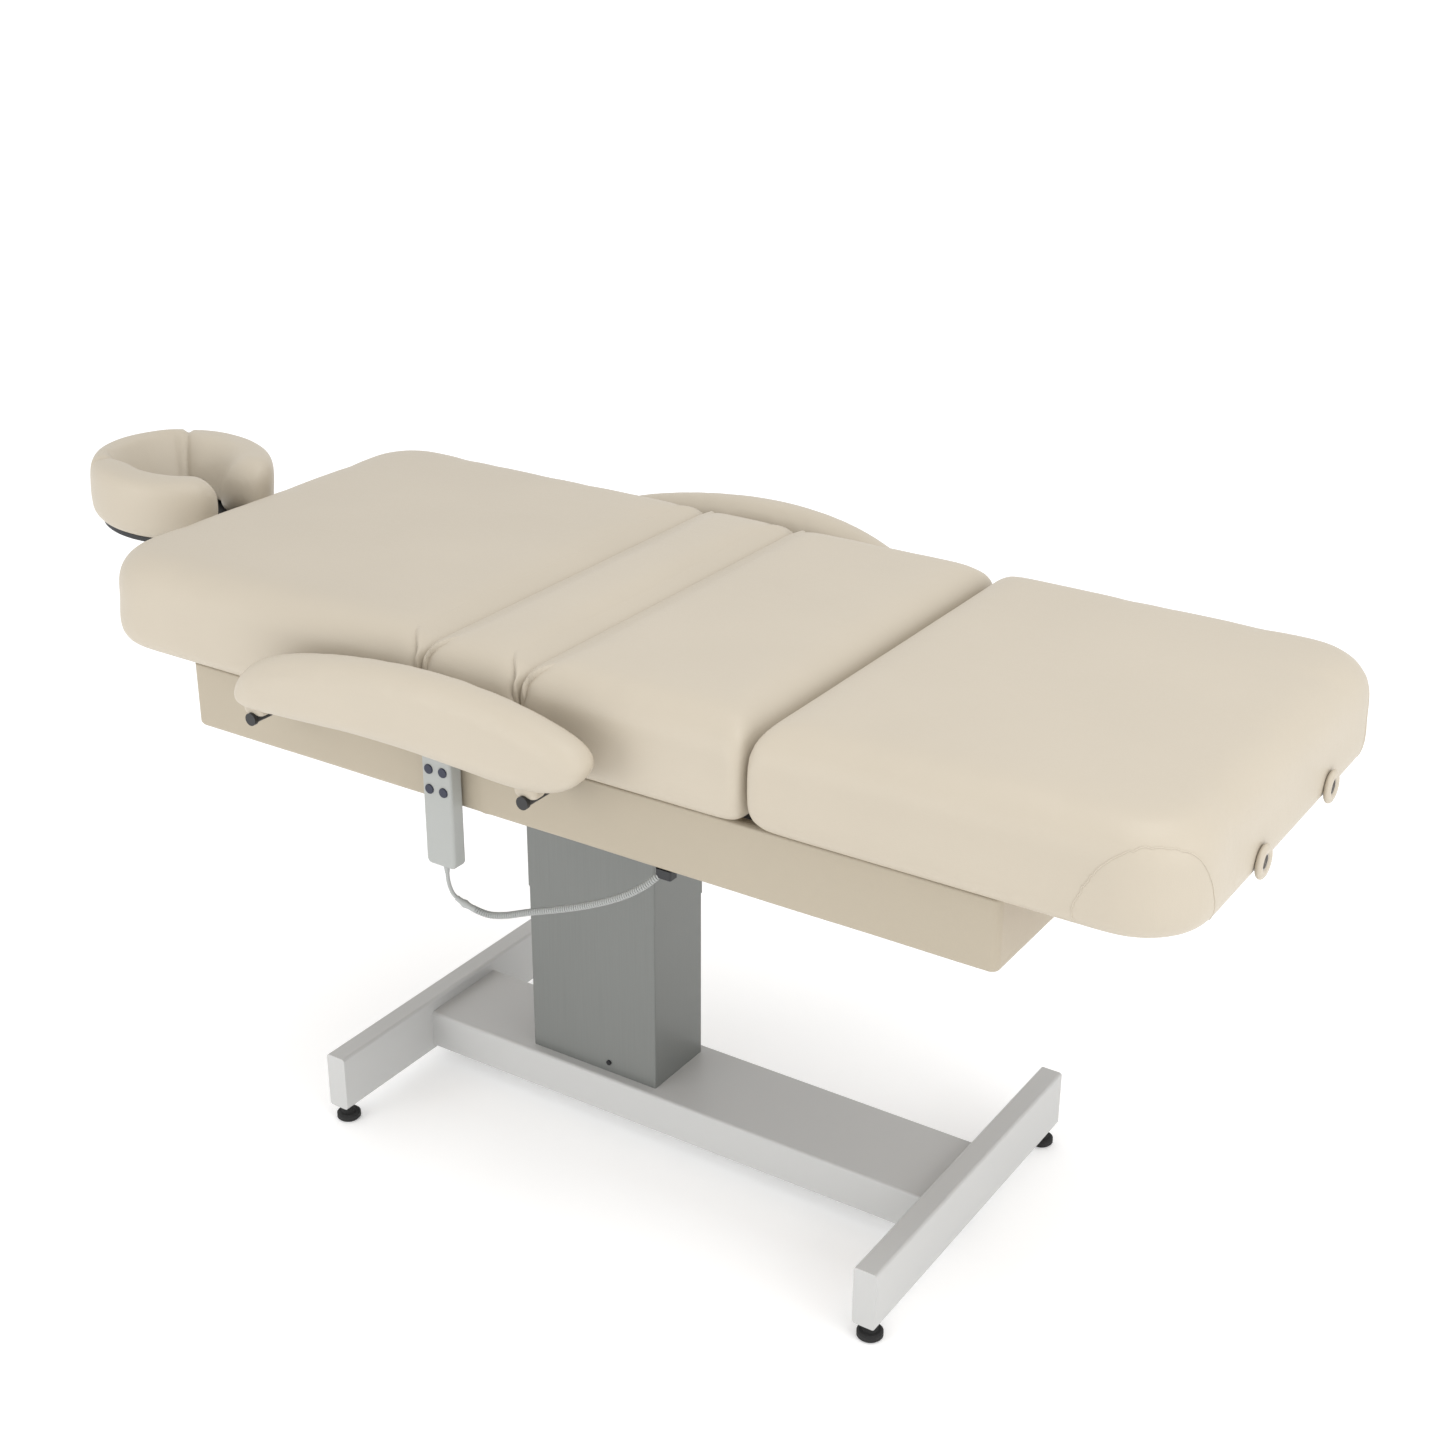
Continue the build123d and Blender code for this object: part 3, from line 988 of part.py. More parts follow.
BUTTON_BACK_Y = HANDSET_FRONT_Y + BUTTON_POCKET - BUTTON_TRAVEL - BUTTON_BACK_GAP
BUTTON_NAMES = ("back_up", "back_down", "height_up", "height_down")
buttons = {}
for name, place in zip(BUTTON_NAMES, button_places):
    with BuildPart() as button:
        with BuildSketch(side_plane(BUTTON_BACK_Y)):
            with Locations(place):
                Circle(BUTTON_RADIUS)
        extrude(amount=BUTTON_BACK_Y - HANDSET_FRONT_Y + BUTTON_PROUD)
        fillet(button.faces().sort_by(Axis.Y)[0].edges(), 1)
    buttons[name] = button

HOOK_WIDTH = 34.0
HOOK_HEIGHT = 70.0
HOOK_GAP = 0.3
with BuildPart() as handset_hook:
    with BuildSketch(side_plane(-APRON_HALF_WIDTH)):
        with Locations((HANDSET_X, HANDSET_TOP - HOOK_HEIGHT)):
            RectangleRounded(HOOK_WIDTH, HOOK_HEIGHT, 4)
    extrude(amount=-HANDSET_BACK_Y - APRON_HALF_WIDTH - HOOK_GAP)

# ================================================================ handset lead
# A plain lead out of the handset, then the curly cord up to a clip under the apron.
LEAD_Y = (HANDSET_BACK_Y + HANDSET_FRONT_Y) / 2
LEAD_ROUTE = ((HANDSET_X, LEAD_Y, HANDSET_BOTTOM), (HANDSET_X, LEAD_Y, 587), (HANDSET_X + 3, LEAD_Y, 569),
              (HANDSET_X + 13, LEAD_Y, 553), (HANDSET_X + 34, LEAD_Y + 1, 547))
CURLY_ROUTE = (LEAD_ROUTE[-1], (HANDSET_X + 62, LEAD_Y + 2.3333, 539), (-96, -358.5, 546), (-51, -355, 565),
               (4, -352, 585), (57, -350, 607), (108, -348, 633), (140, -345, 655), (160, -341, 672),
               (176, -337, 690))
CLIP_SIZE = (26.0, 18.0, 14.0)


def cord_tube(points, diameter, name):
    """Tube along straight runs joined by tangent arcs; each arc takes 0.45 of its shorter run."""
    corners = [Vector(*point) for point in points]
    runs = [after - before for before, after in zip(corners, corners[1:])]
    radii = []
    for before, after in zip(runs, runs[1:]):
        half_turn = radians(before.get_angle(after)) / 2
        radii.append(0.45 * min(before.length, after.length) / tan(half_turn))
    print(name, "arc radii", [round(radius) for radius in radii])
    with BuildPart() as tube:
        with BuildLine() as route:
            FilletPolyline(*corners, radius=radii)
        with BuildSketch(Plane(origin=corners[0], z_dir=runs[0])):
            Circle(diameter / 2)
        sweep()
    length = sum(edge.length for edge in route.edges())
    section = pi * (diameter / 2) ** 2
    print(name, "length", round(length), "volume over section times length",
          round(tube.part.volume / (section * length), 3))
    return tube


handset_lead = cord_tube(LEAD_ROUTE, LEAD_DIAMETER, "handset_lead")
curly_cord = cord_tube(CURLY_ROUTE, CURLY_DIAMETER, "curly_cord")
with BuildPart() as cord_clip:
    with BuildSketch(Plane.XY.offset(APRON_BOTTOM - CLIP_SIZE[2])):
        with Locations((CURLY_ROUTE[-1][0] + 4, CURLY_ROUTE[-1][1] + 4)):
            RectangleRounded(CLIP_SIZE[0], CLIP_SIZE[1], 3)
    extrude(amount=CLIP_SIZE[2])

# ================================================================ files
pieces = {
    "base_bars": base_bars, "base_beam": base_beam, "levelling_feet": levelling_feet,
    "column_base_plate": column_base_plate, "column_screws": column_screws, "cover_screws": cover_screws,
    "lift_outer_profile": lift_outer_profile, "column_lower_cover": column_lower_cover,
    "lift_motor": lift_motor, "lift_spindle": lift_spindle,
    "lift_middle_profile": lift_middle_profile, "lift_nut_tube": lift_nut_tube,
    "lift_inner_profile": lift_inner_profile, "column_upper_cover": column_upper_cover,
    "lift_head_plate": lift_head_plate, "frame_rails": frame_rails, "frame_crossbars": frame_crossbars,
    "apron_sides": apron_sides, "apron_ends": apron_ends, "control_box": control_box,
    "mains_inlet": mains_inlet, "seat_cushion": seat_cushion, "seat_board": seat_board,
    "hinge_arms": hinge_arms, "hinge_pins": hinge_pins, "armrest_sleeves": armrest_sleeves,
    "back_cushion": back_cushion, "back_board": back_board, "back_brackets": back_brackets,
    "head_sockets": head_sockets, "back_actuator_body": back_actuator_body,
    "back_actuator_rod": back_actuator_rod, "thigh_cushion": thigh_cushion,
    "thigh_board": thigh_board, "thigh_brackets": thigh_brackets, "knee_pins": knee_pins,
    "knee_spring_body": knee_spring_body, "knee_spring_rod": knee_spring_rod,
    "leg_cushion": leg_cushion, "leg_board": leg_board, "leg_knee_leaves": leg_knee_leaves,
    "foot_sockets": foot_sockets, "near_arm_pad": arm_pad_near, "near_arm_frame": arm_frame_near,
    "near_arm_caps": arm_caps_near, "far_arm_pad": far["pad"], "far_arm_frame": far["frame"],
    "far_arm_caps": far["caps"], "cradle_frame": cradle_frame, "cradle_platform": cradle_platform,
    "cradle_cushion": cradle_cushion, "handset_shell": handset_shell, "handset_hook": handset_hook,
    "handset_lead": handset_lead, "curly_cord": curly_cord, "cord_clip": cord_clip,
}
for name, button in buttons.items():
    pieces["button_" + name] = button
os.makedirs("parts", exist_ok=True)
for name, piece in pieces.items():
    piece.part.label = name
    export_step(piece.part, f"parts/{name}.step")
print(len(pieces), "pieces")
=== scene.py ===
"""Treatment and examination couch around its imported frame.

Metres, +Z up. The origin is on the floor under the base, +X runs to the foot end
and -Y is the side with the handset.
"""
import json
import math

import bpy
import numpy as np
from mathutils import Matrix, Vector


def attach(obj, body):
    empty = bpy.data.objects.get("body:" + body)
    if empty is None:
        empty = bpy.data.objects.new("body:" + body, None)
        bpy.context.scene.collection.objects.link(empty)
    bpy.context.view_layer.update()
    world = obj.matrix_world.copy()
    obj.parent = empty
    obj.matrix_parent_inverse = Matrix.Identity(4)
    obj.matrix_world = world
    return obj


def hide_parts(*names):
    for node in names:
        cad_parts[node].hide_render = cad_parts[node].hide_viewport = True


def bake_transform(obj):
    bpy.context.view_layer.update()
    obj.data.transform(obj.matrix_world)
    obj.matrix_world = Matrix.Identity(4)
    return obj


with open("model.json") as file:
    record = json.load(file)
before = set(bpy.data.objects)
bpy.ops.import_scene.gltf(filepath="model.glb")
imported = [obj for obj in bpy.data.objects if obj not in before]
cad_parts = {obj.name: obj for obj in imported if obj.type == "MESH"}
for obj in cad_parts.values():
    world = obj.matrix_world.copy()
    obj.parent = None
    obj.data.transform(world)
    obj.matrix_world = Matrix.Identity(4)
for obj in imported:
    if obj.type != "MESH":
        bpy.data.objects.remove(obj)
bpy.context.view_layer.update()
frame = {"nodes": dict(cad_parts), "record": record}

# ---- Camera --------------------------------------------------------------------
# Someone stands off the near foot corner and looks down over the couch towards
# its head end, at a height a little above the raised top.
camera_data = bpy.data.cameras.new("studio_camera")
camera_data.lens = 53.56
camera_data.sensor_width = 36.0
camera = bpy.data.objects.new("studio_camera", camera_data)
camera.matrix_world = (
    Matrix.Translation((1.6822, -2.5130, 2.1020))
    @ Matrix.Rotation(math.radians(32.9), 4, "Z")
    @ Matrix.Rotation(math.radians(90.0 - 24.1), 4, "X")
    @ Matrix.Rotation(math.radians(0.3), 4, "Z")
)
bpy.context.collection.objects.link(camera)
bpy.context.scene.camera = camera
bpy.context.scene.view_settings.view_transform = "Standard"


# ---- Studio --------------------------------------------------------------------
# A pale seamless floor under large soft lamps: one high behind the viewer's right
# shoulder, one broad from above and a weak one from the head end.
def add_mesh(name, points, faces, smooth=True):
    """Mesh object from an array of points (n, 3) and an array of faces (m, 3 or 4)."""
    mesh = bpy.data.meshes.new(name)
    points = np.asarray(points, dtype=np.float32).reshape(-1, 3)
    mesh.from_pydata(points.tolist(), [], [tuple(face) for face in faces])
    mesh.polygons.foreach_set("use_smooth", np.full(len(mesh.polygons), smooth))
    mesh.update()
    piece = bpy.data.objects.new(name, mesh)
    bpy.context.collection.objects.link(piece)
    return piece


def new_material(name, colour, roughness, metallic=0.0):
    """Empty finish: a principled shader with its colour, roughness and metal set on its own sockets."""
    finish = bpy.data.materials.new(name)
    finish.use_nodes = True
    shader = finish.node_tree.nodes["Principled BSDF"]
    shader.inputs["Base Color"].default_value = (*colour, 1.0)
    shader.inputs["Roughness"].default_value = roughness
    shader.inputs["Metallic"].default_value = metallic
    return finish, finish.node_tree, shader


floor_half = 30.0
floor = add_mesh(
    "studio_floor",
    [(-floor_half, -floor_half, 0), (floor_half, -floor_half, 0),
     (floor_half, floor_half, 0), (-floor_half, floor_half, 0)],
    [(0, 1, 2, 3)],
)
floor_finish, _, floor_shader = new_material("studio_floor", (0.93, 0.93, 0.93), 0.9)
floor_shader.inputs["Emission Color"].default_value = (1.0, 1.0, 1.0, 1.0)
floor_shader.inputs["Emission Strength"].default_value = 0.22
floor.data.materials.append(floor_finish)

for name, place, target, size, power in (
    ("foot_lamp", (3.6, -1.0, 1.5), (0.6, 0.0, 0.5), 2.0, 27.0),
    ("front_lamp", (-1.6, -3.6, 1.3), (-0.3, 0.0, 0.6), 2.2, 33.0),
    ("top_lamp", (1.3, -0.4, 3.4), (0.6, 0.0, 0.9), 1.8, 27.0),
):
    lamp_data = bpy.data.lights.new(name, "AREA")
    lamp_data.size = size
    lamp_data.energy = power
    lamp = bpy.data.objects.new(name, lamp_data)
    aim = (Vector(target) - Vector(place)).to_track_quat("-Z", "Y")
    lamp.matrix_world = Matrix.Translation(place) @ aim.to_matrix().to_4x4()
    bpy.context.collection.objects.link(lamp)
sky = bpy.data.worlds.new("studio_sky")
sky.use_nodes = True
sky.node_tree.nodes["Background"].inputs["Color"].default_value = (1.0, 1.0, 1.0, 1.0)
sky.node_tree.nodes["Background"].inputs["Strength"].default_value = 1.0
bpy.context.scene.world = sky


# ---- Handset cord --------------------------------------------------------------
# A plain lead leaves the handset downwards, enters a moulded sleeve and goes on as
# a curly cord that droops in front of the column and ends in a clip under the apron.
def cord_finish(name, colour):
    """Soft plastic jacket: a fine speckle in its roughness and bump, on a matt surface."""
    finish, tree, shader = new_material(name, colour, 0.48)
    place = tree.nodes.new("ShaderNodeTexCoord")
    speckle = tree.nodes.new("ShaderNodeTexNoise")
    speckle.inputs["Scale"].default_value = 900.0
    tree.links.new(place.outputs["Object"], speckle.inputs["Vector"])
    ramp = tree.nodes.new("ShaderNodeMapRange")
    ramp.inputs["To Min"].default_value = 0.40
    ramp.inputs["To Max"].default_value = 0.58
    tree.links.new(speckle.outputs["Fac"], ramp.inputs["Value"])
    tree.links.new(ramp.outputs["Result"], shader.inputs["Roughness"])
    bump = tree.nodes.new("ShaderNodeBump")
    bump.inputs["Strength"].default_value = 0.25
    bump.inputs["Distance"].default_value = 0.0002
    tree.links.new(speckle.outputs["Fac"], bump.inputs["Height"])
    tree.links.new(bump.outputs["Normal"], shader.inputs["Normal"])
    return finish


def route_curve(name, points, radius):
    """Smooth open spline whose control points are the given route."""
    curve = bpy.data.curves.new(name, "CURVE")
    curve.dimensions = "3D"
    curve.bevel_depth = radius
    curve.bevel_resolution = 5
    curve.resolution_u = 16
    curve.use_fill_caps = True
    spline = curve.splines.new("NURBS")
    spline.points.add(len(points) - 1)
    for control, point in zip(spline.points, points):
        control.co = (*point, 1.0)
    spline.order_u = 3
    spline.use_endpoint_u = True
    piece = bpy.data.objects.new(name, curve)
    bpy.context.collection.objects.link(piece)
    return piece


def along_route(name, points):
    """Points of the route's own smooth line, in order, read from a curve with no thickness."""
    bare = route_curve(name + "_line", points, 0.0)
    line = bpy.data.meshes.new_from_object(bare)
    path = np.empty(len(line.vertices) * 3)
    line.vertices.foreach_get("co", path)
    bpy.data.objects.remove(bare)
    bpy.data.meshes.remove(line)
    return path.reshape(-1, 3)


def evenly(path, count):
    """The same line as count points equally spaced along it."""
    steps = np.linalg.norm(np.diff(path, axis=0), axis=1)
    travelled = np.concatenate(([0.0], np.cumsum(steps)))
    wanted = np.linspace(0.0, travelled[-1], count)
    return np.stack([np.interp(wanted, travelled, path[:, axis]) for axis in range(3)], axis=1)


def tube_grid(path, radii, sides):
    """Closed tube: a circle of the given radius carried along a path, square to it, with capped ends."""
    tangent = np.gradient(path, axis=0)
    tangent /= np.linalg.norm(tangent, axis=1, keepdims=True)
    up = np.tile((0.0, 1.0, 0.0), (len(path), 1))
    side = np.cross(tangent, up)
    side /= np.linalg.norm(side, axis=1, keepdims=True)
    over = np.cross(side, tangent)
    angle = np.linspace(0.0, 2.0 * math.pi, sides, endpoint=False)
    ring = side[:, None] * np.cos(angle)[None, :, None] + over[:, None] * np.sin(angle)[None, :, None]
    body = path[:, None] + ring * np.asarray(radii)[:, None, None]
    points = np.concatenate((body.reshape(-1, 3), path[:1], path[-1:]))
    index = np.arange(len(path) * sides).reshape(len(path), sides)
    following = np.roll(index, -1, axis=1)
    quads = np.stack((index[:-1], following[:-1], following[1:], index[1:]), axis=-1).reshape(-1, 4)
    first = np.stack((following[0], index[0], np.full(sides, len(points) - 2)), axis=-1)
    last = np.stack((index[-1], following[-1], np.full(sides, len(points) - 1)), axis=-1)
    return points, quads.tolist() + first.tolist() + last.tolist()


def add_tube(name, path, radii, sides=24):
    """Mesh object of tube_grid, smooth shaded, with its ends closed."""
    points, faces = tube_grid(path, radii, sides)
    mesh = bpy.data.meshes.new(name)
    mesh.from_pydata(points.tolist(), [], faces)
    mesh.polygons.foreach_set("use_smooth", np.full(len(mesh.polygons), True))
    mesh.update()
    piece = bpy.data.objects.new(name, mesh)
    bpy.context.collection.objects.link(piece)
    return piece


lead_route = ((-0.195, -0.3625, 0.607), (-0.195, -0.3625, 0.587), (-0.192, -0.3625, 0.569),
              (-0.182, -0.3625, 0.553), (-0.161, -0.3615, 0.547))
curly_route = ((-0.161, -0.3615, 0.547), (-0.133, -0.3602, 0.539), (-0.096, -0.3585, 0.546),
               (-0.051, -0.355, 0.565), (0.004, -0.352, 0.585), (0.057, -0.350, 0.607),
               (0.108, -0.348, 0.633), (0.140, -0.345, 0.655), (0.160, -0.341, 0.672),
               (0.176, -0.337, 0.690))
lead_radius = 0.003
coil_radius = 0.0055
wire_radius = 0.0017
coil_pitch = 0.0042
points_a_turn = 14
cord_jacket = cord_finish("cord_jacket", (0.36, 0.37, 0.36))
lead = route_curve("handset_lead_jacket", lead_route, lead_radius)
lead.data.materials.append(cord_jacket)
lead_path = along_route("lead", lead_route)
curly_path = along_route("curly", curly_route)


def length_of(path):
    """Length of a line given by its points."""
    return float(np.linalg.norm(np.diff(path, axis=0), axis=1).sum())


# The coil's wire runs round the route at the coil's mean radius, one turn per pitch.
turns = int(length_of(curly_path) / coil_pitch)
axis_line = evenly(curly_path, turns * points_a_turn)
axis_tangent = np.gradient(axis_line, axis=0)
axis_tangent /= np.linalg.norm(axis_tangent, axis=1, keepdims=True)
across = np.cross(axis_tangent, np.tile((0.0, 1.0, 0.0), (len(axis_line), 1)))
across /= np.linalg.norm(across, axis=1, keepdims=True)
above = np.cross(across, axis_tangent)
turning = 2.0 * math.pi * np.arange(len(axis_line)) / points_a_turn
swell_in = np.clip(np.arange(len(axis_line)) / (3.0 * points_a_turn), 0.0, 1.0)
swell_in = np.minimum(swell_in, swell_in[::-1])
mean_radius = (coil_radius - wire_radius) * (0.25 + 0.75 * swell_in[:, None])
helix = axis_line + mean_radius * (
    across * np.cos(turning)[:, None] + above * np.sin(turning)[:, None]
)
curly = add_tube("curly_cord_coil", helix, np.full(len(helix), wire_radius), sides=8)
curly.data.materials.append(cord_jacket)

# Moulded sleeve where the plain lead becomes the coil, with a small stop collar.
sleeve_steps = evenly(np.concatenate((lead_path[-12:], curly_path[1:7])), 40)
along = np.linspace(0.0, 1.0, len(sleeve_steps))
sleeve_radii = 0.0042 + 0.0017 * np.exp(-((along - 0.42) / 0.13) ** 2) + 0.0008 * along
sleeve = add_tube("cord_sleeve", sleeve_steps, sleeve_radii, sides=24)
sleeve.data.materials.append(cord_jacket)

for piece, node in ((lead, "handset_lead"), (curly, "curly_cord")):
    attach(piece, "top_frame")
    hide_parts(node)
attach(sleeve, "top_frame")


# ---- Upholstered pads ----------------------------------------------------------
# Foam blocks on plywood boards, wrapped in smooth cream vinyl that is stretched over
# the edges and stapled underneath. The four pads meet in soft rounded creases.
def textured(tree, kind, scale, stretch=(1.0, 1.0, 1.0), detail=2.0):
    """Noise or Voronoi pattern on Object coordinates, stretched along its axes."""
    place = tree.nodes.new("ShaderNodeTexCoord")
    mapping = tree.nodes.new("ShaderNodeMapping")
    mapping.inputs["Scale"].default_value = stretch
    pattern = tree.nodes.new(kind)
    pattern.inputs["Scale"].default_value = scale
    if "Detail" in pattern.inputs:
        pattern.inputs["Detail"].default_value = detail
    tree.links.new(place.outputs["Object"], mapping.inputs["Vector"])
    tree.links.new(mapping.outputs["Vector"], pattern.inputs["Vector"])
    return pattern


def tinted(tree, shader, factor, colour, spread):
    """Base colour that wanders between a darker and a lighter mix of one colour."""
    mix = tree.nodes.new("ShaderNodeMix")
    mix.data_type = "RGBA"
    mix.inputs["A"].default_value = (*(channel * (1.0 - spread) for channel in colour), 1.0)
    mix.inputs["B"].default_value = (*(channel * (1.0 + spread) for channel in colour), 1.0)
    tree.links.new(factor, mix.inputs["Factor"])
    tree.links.new(mix.outputs["Result"], shader.inputs["Base Color"])


def ranged(tree, factor, low, high):
    """The pattern's value carried from 0..1 to low..high."""
    reach = tree.nodes.new("ShaderNodeMapRange")
    reach.inputs["To Min"].default_value = low
    reach.inputs["To Max"].default_value = high
    tree.links.new(factor, reach.inputs["Value"])
    return reach.outputs["Result"]


def bumped(tree, height, depth, strength, under=None):
    """Bump of the given depth in metres, laid over another bump where one is given."""
    bump = tree.nodes.new("ShaderNodeBump")
    bump.inputs["Strength"].default_value = strength
    bump.inputs["Distance"].default_value = depth
    tree.links.new(height, bump.inputs["Height"])
    if under is not None:
        tree.links.new(under, bump.inputs["Normal"])
    return bump.outputs["Normal"]


def vinyl_finish(name, colour):
    """Upholstery vinyl: mottled cream, leather-like grain and long shallow stretch marks."""
    finish, tree, shader = new_material(name, colour, 0.45)
    cloudy = textured(tree, "ShaderNodeTexNoise", 5.0, detail=4.0)
    tinted(tree, shader, cloudy.outputs["Fac"], colour, 0.035)
    fine = textured(tree, "ShaderNodeTexNoise", 420.0)
    roughness = ranged(tree, fine.outputs["Fac"], 0.36, 0.54)
    tree.links.new(roughness, shader.inputs["Roughness"])
    stretch = textured(tree, "ShaderNodeTexNoise", 9.0, (1.0, 2.2, 1.0), 3.0)
    grain = textured(tree, "ShaderNodeTexVoronoi", 620.0)
    soft = bumped(tree, stretch.outputs["Fac"], 0.004, 0.35)
    tree.links.new(bumped(tree, grain.outputs["Distance"], 0.00025, 0.35, soft), shader.inputs["Normal"])
    shader.inputs["Specular IOR Level"].default_value = 0.35
    return finish


def rounded_ring(x_low, x_high, y_half, radii, count):
    """Rounded rectangle (count, 2): straight sides joined by quarter circles, one radius per corner.

    Each corner takes an equal share of the points, so that rings of different sizes match.
    """
    corners = ((x_high, y_half, radii[1], 0.0), (x_low, y_half, radii[0], 0.5),
               (x_low, -y_half, radii[0], 1.0), (x_high, -y_half, radii[1], 1.5))
    share = count // 4
    arcs = []
    for x, y, radius, turn in corners:
        angle = (turn + np.linspace(0.0, 0.5, share // 2)) * math.pi
        centre = np.array((x - math.copysign(radius, x - (x_low + x_high) / 2), y - math.copysign(radius, y)))
        arcs.append(centre + radius * np.stack((np.cos(angle), np.sin(angle)), axis=1))
    ring = []
    for arc, following in zip(arcs, arcs[1:] + arcs[:1]):
        blend = np.linspace(0.0, 1.0, share - share // 2 + 2)[1:-1, None]
        ring += [arc, arc[-1] * (1.0 - blend) + following[0] * blend]
    return np.concatenate(ring)


def ring_solid(rings):
    """Closed shell from stacked rings (levels, n, 3), its two ends drawn to a point."""
    levels, count, _ = rings.shape
    points = np.concatenate((rings.reshape(-1, 3), rings[:1].mean(axis=1), rings[-1:].mean(axis=1)))
    index = np.arange(levels * count).reshape(levels, count)
    after = np.roll(index, -1, axis=1)
    quads = np.stack((index[:-1], after[:-1], after[1:], index[1:]), axis=-1).reshape(-1, 4)
    first = np.stack((after[0], index[0], np.full(count, len(points) - 2)), axis=-1)
    last = np.stack((index[-1], after[-1], np.full(count, len(points) - 1)), axis=-1)
    return points, quads.tolist() + first.tolist() + last.tolist()


def coordinates(mesh):
    """All vertex places of a mesh as one array."""
    places = np.empty(len(mesh.vertices) * 3)
    mesh.vertices.foreach_get("co", places)
    return places.reshape(-1, 3)


def relaxed(mesh, places, rounds):
    """Each point moved half way to the mean of its neighbours, round after round."""
    ends = np.empty(len(mesh.edges) * 2, dtype=np.int64)
    mesh.edges.foreach_get("vertices", ends)
    first, second = ends.reshape(-1, 2).T
    valence = np.bincount(ends, minlength=len(places))[:, None]
    for _ in range(rounds):
        total = np.zeros_like(places)
        np.add.at(total, first, places[second])
        np.add.at(total, second, places[first])
        places = 0.5 * places + 0.5 * total / valence
    return places


def upholstered(name, points, faces, voxel, cap, freedom, body):
    """Foam shape wrapped in cover: remeshed evenly, swollen as cloth under pressure, then smoothed.

    freedom(places) gives how far each point may follow the cloth, from 0 to 1, and
    cap is the most that any point may move.
    """
    rough = add_mesh(name + "_shell", points, faces)
    even = rough.modifiers.new("even", "REMESH")
    even.mode = "VOXEL"
    even.voxel_size = voxel
    skin = bpy.data.meshes.new_from_object(rough.evaluated_get(bpy.context.evaluated_depsgraph_get()))
    bpy.data.objects.remove(rough)
    skin.name = name
    piece = bpy.data.objects.new(name, skin)
    bpy.context.collection.objects.link(piece)
    rest = relaxed(skin, coordinates(skin), 6)
    places = rest
    skin.vertices.foreach_set("co", rest.ravel())
    cloth = piece.modifiers.new("cover", "CLOTH")
    cloth.settings.quality = 4
    cloth.settings.use_pressure = True
    cloth.settings.uniform_pressure_force = 4.0
    cloth.settings.effector_weights.gravity = 0.0
    cloth.point_cache.frame_start = 1
    cloth.point_cache.frame_end = 20
    for step in range(1, 21):
        bpy.context.scene.frame_set(step)
    swollen = piece.evaluated_get(bpy.context.evaluated_depsgraph_get())
    moved = coordinates(swollen.to_mesh()) - rest
    swollen.to_mesh_clear()
    piece.modifiers.remove(cloth)
    bpy.context.scene.frame_set(1)
    distance = np.linalg.norm(moved, axis=1, keepdims=True)
    moved *= np.minimum(1.0, cap / np.maximum(distance, 1e-9))
    places = rest + moved * freedom(rest)[:, None]
    skin.vertices.foreach_set("co", relaxed(skin, places, 3).ravel())
    skin.polygons.foreach_set("use_smooth", np.full(len(skin.polygons), True))
    skin.update()
    smooth = piece.modifiers.new("smooth", "SUBSURF")
    smooth.levels = 1
    smooth.render_levels = 1
    skin.materials.append(cream_vinyl)
    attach(piece, body)
    return piece


pad_top = 0.963
pad_bottom = 0.808
pad_half_width = 0.381
top_edge = 0.052
bottom_edge = 0.038
seam_edge = 0.034
outer_corner = 0.105
crown_height = 0.004
board_recess = 0.0075
board_inset = 0.050


def pad_shape(x_low, x_high, head_end, foot_end, count=240):
    """Pad as rings: plan inset and height follow quarter circles at the lower and upper edges.

    The radius of each edge is that of the outer sides, or of the seams where the
    outline faces a neighbouring pad, and the top is raised in the middle by the crown.
    """
    radii = (outer_corner if head_end else 0.012, outer_corner if foot_end else 0.012)
    levels = []
    for t in np.linspace(0.0, math.pi, 26):
        upper = t > math.pi / 2
        outer = top_edge if upper else bottom_edge
        low_edge = outer if head_end else seam_edge
        high_edge = outer if foot_end else seam_edge
        shrink = 1.0 - math.sin(t)
        ring = rounded_ring(x_low + low_edge * shrink, x_high - high_edge * shrink,
                            pad_half_width - outer * shrink,
                            [max(radius - outer * shrink, 0.008) for radius in radii], count)
        if upper:
            height = pad_top - outer * (1.0 + math.cos(t))
        else:
            height = pad_bottom + outer * (1.0 - math.cos(t))
        levels.append(np.column_stack((ring, np.full(len(ring), height))))
    middle = np.array(((x_low + x_high) / 2, 0.0))
    stack = []
    for share in (0.2, 0.6, 0.9):
        inner = levels[0].copy()
        inner[:, :2] = middle + (inner[:, :2] - middle) * share
        inner[:, 2] += board_recess if share < 0.9 else 0.0
        stack.append(inner)
    stack += levels
    for share in (0.96, 0.85, 0.7, 0.5, 0.25):
        inner = levels[-1].copy()
        inner[:, :2] = middle + (inner[:, :2] - middle) * share
        inner[:, 2] += crown_height * (1.0 - share ** 2)
        stack.append(inner)
    return ring_solid(np.stack(stack))


def section_freedom(x_low, x_high, head_end, foot_end):
    """Cloth follows freely on the top and outer sides, and not at the seams or underneath."""
    def freedom(places):
        rise = np.clip((places[:, 2] - 0.835) / 0.05, 0.0, 1.0)
        for seam, free in ((x_low, head_end), (x_high, foot_end)):
            if not free:
                rise = rise * np.clip((np.abs(places[:, 0] - seam) - 0.01) / 0.04, 0.0, 1.0)
        return rise
    return freedom


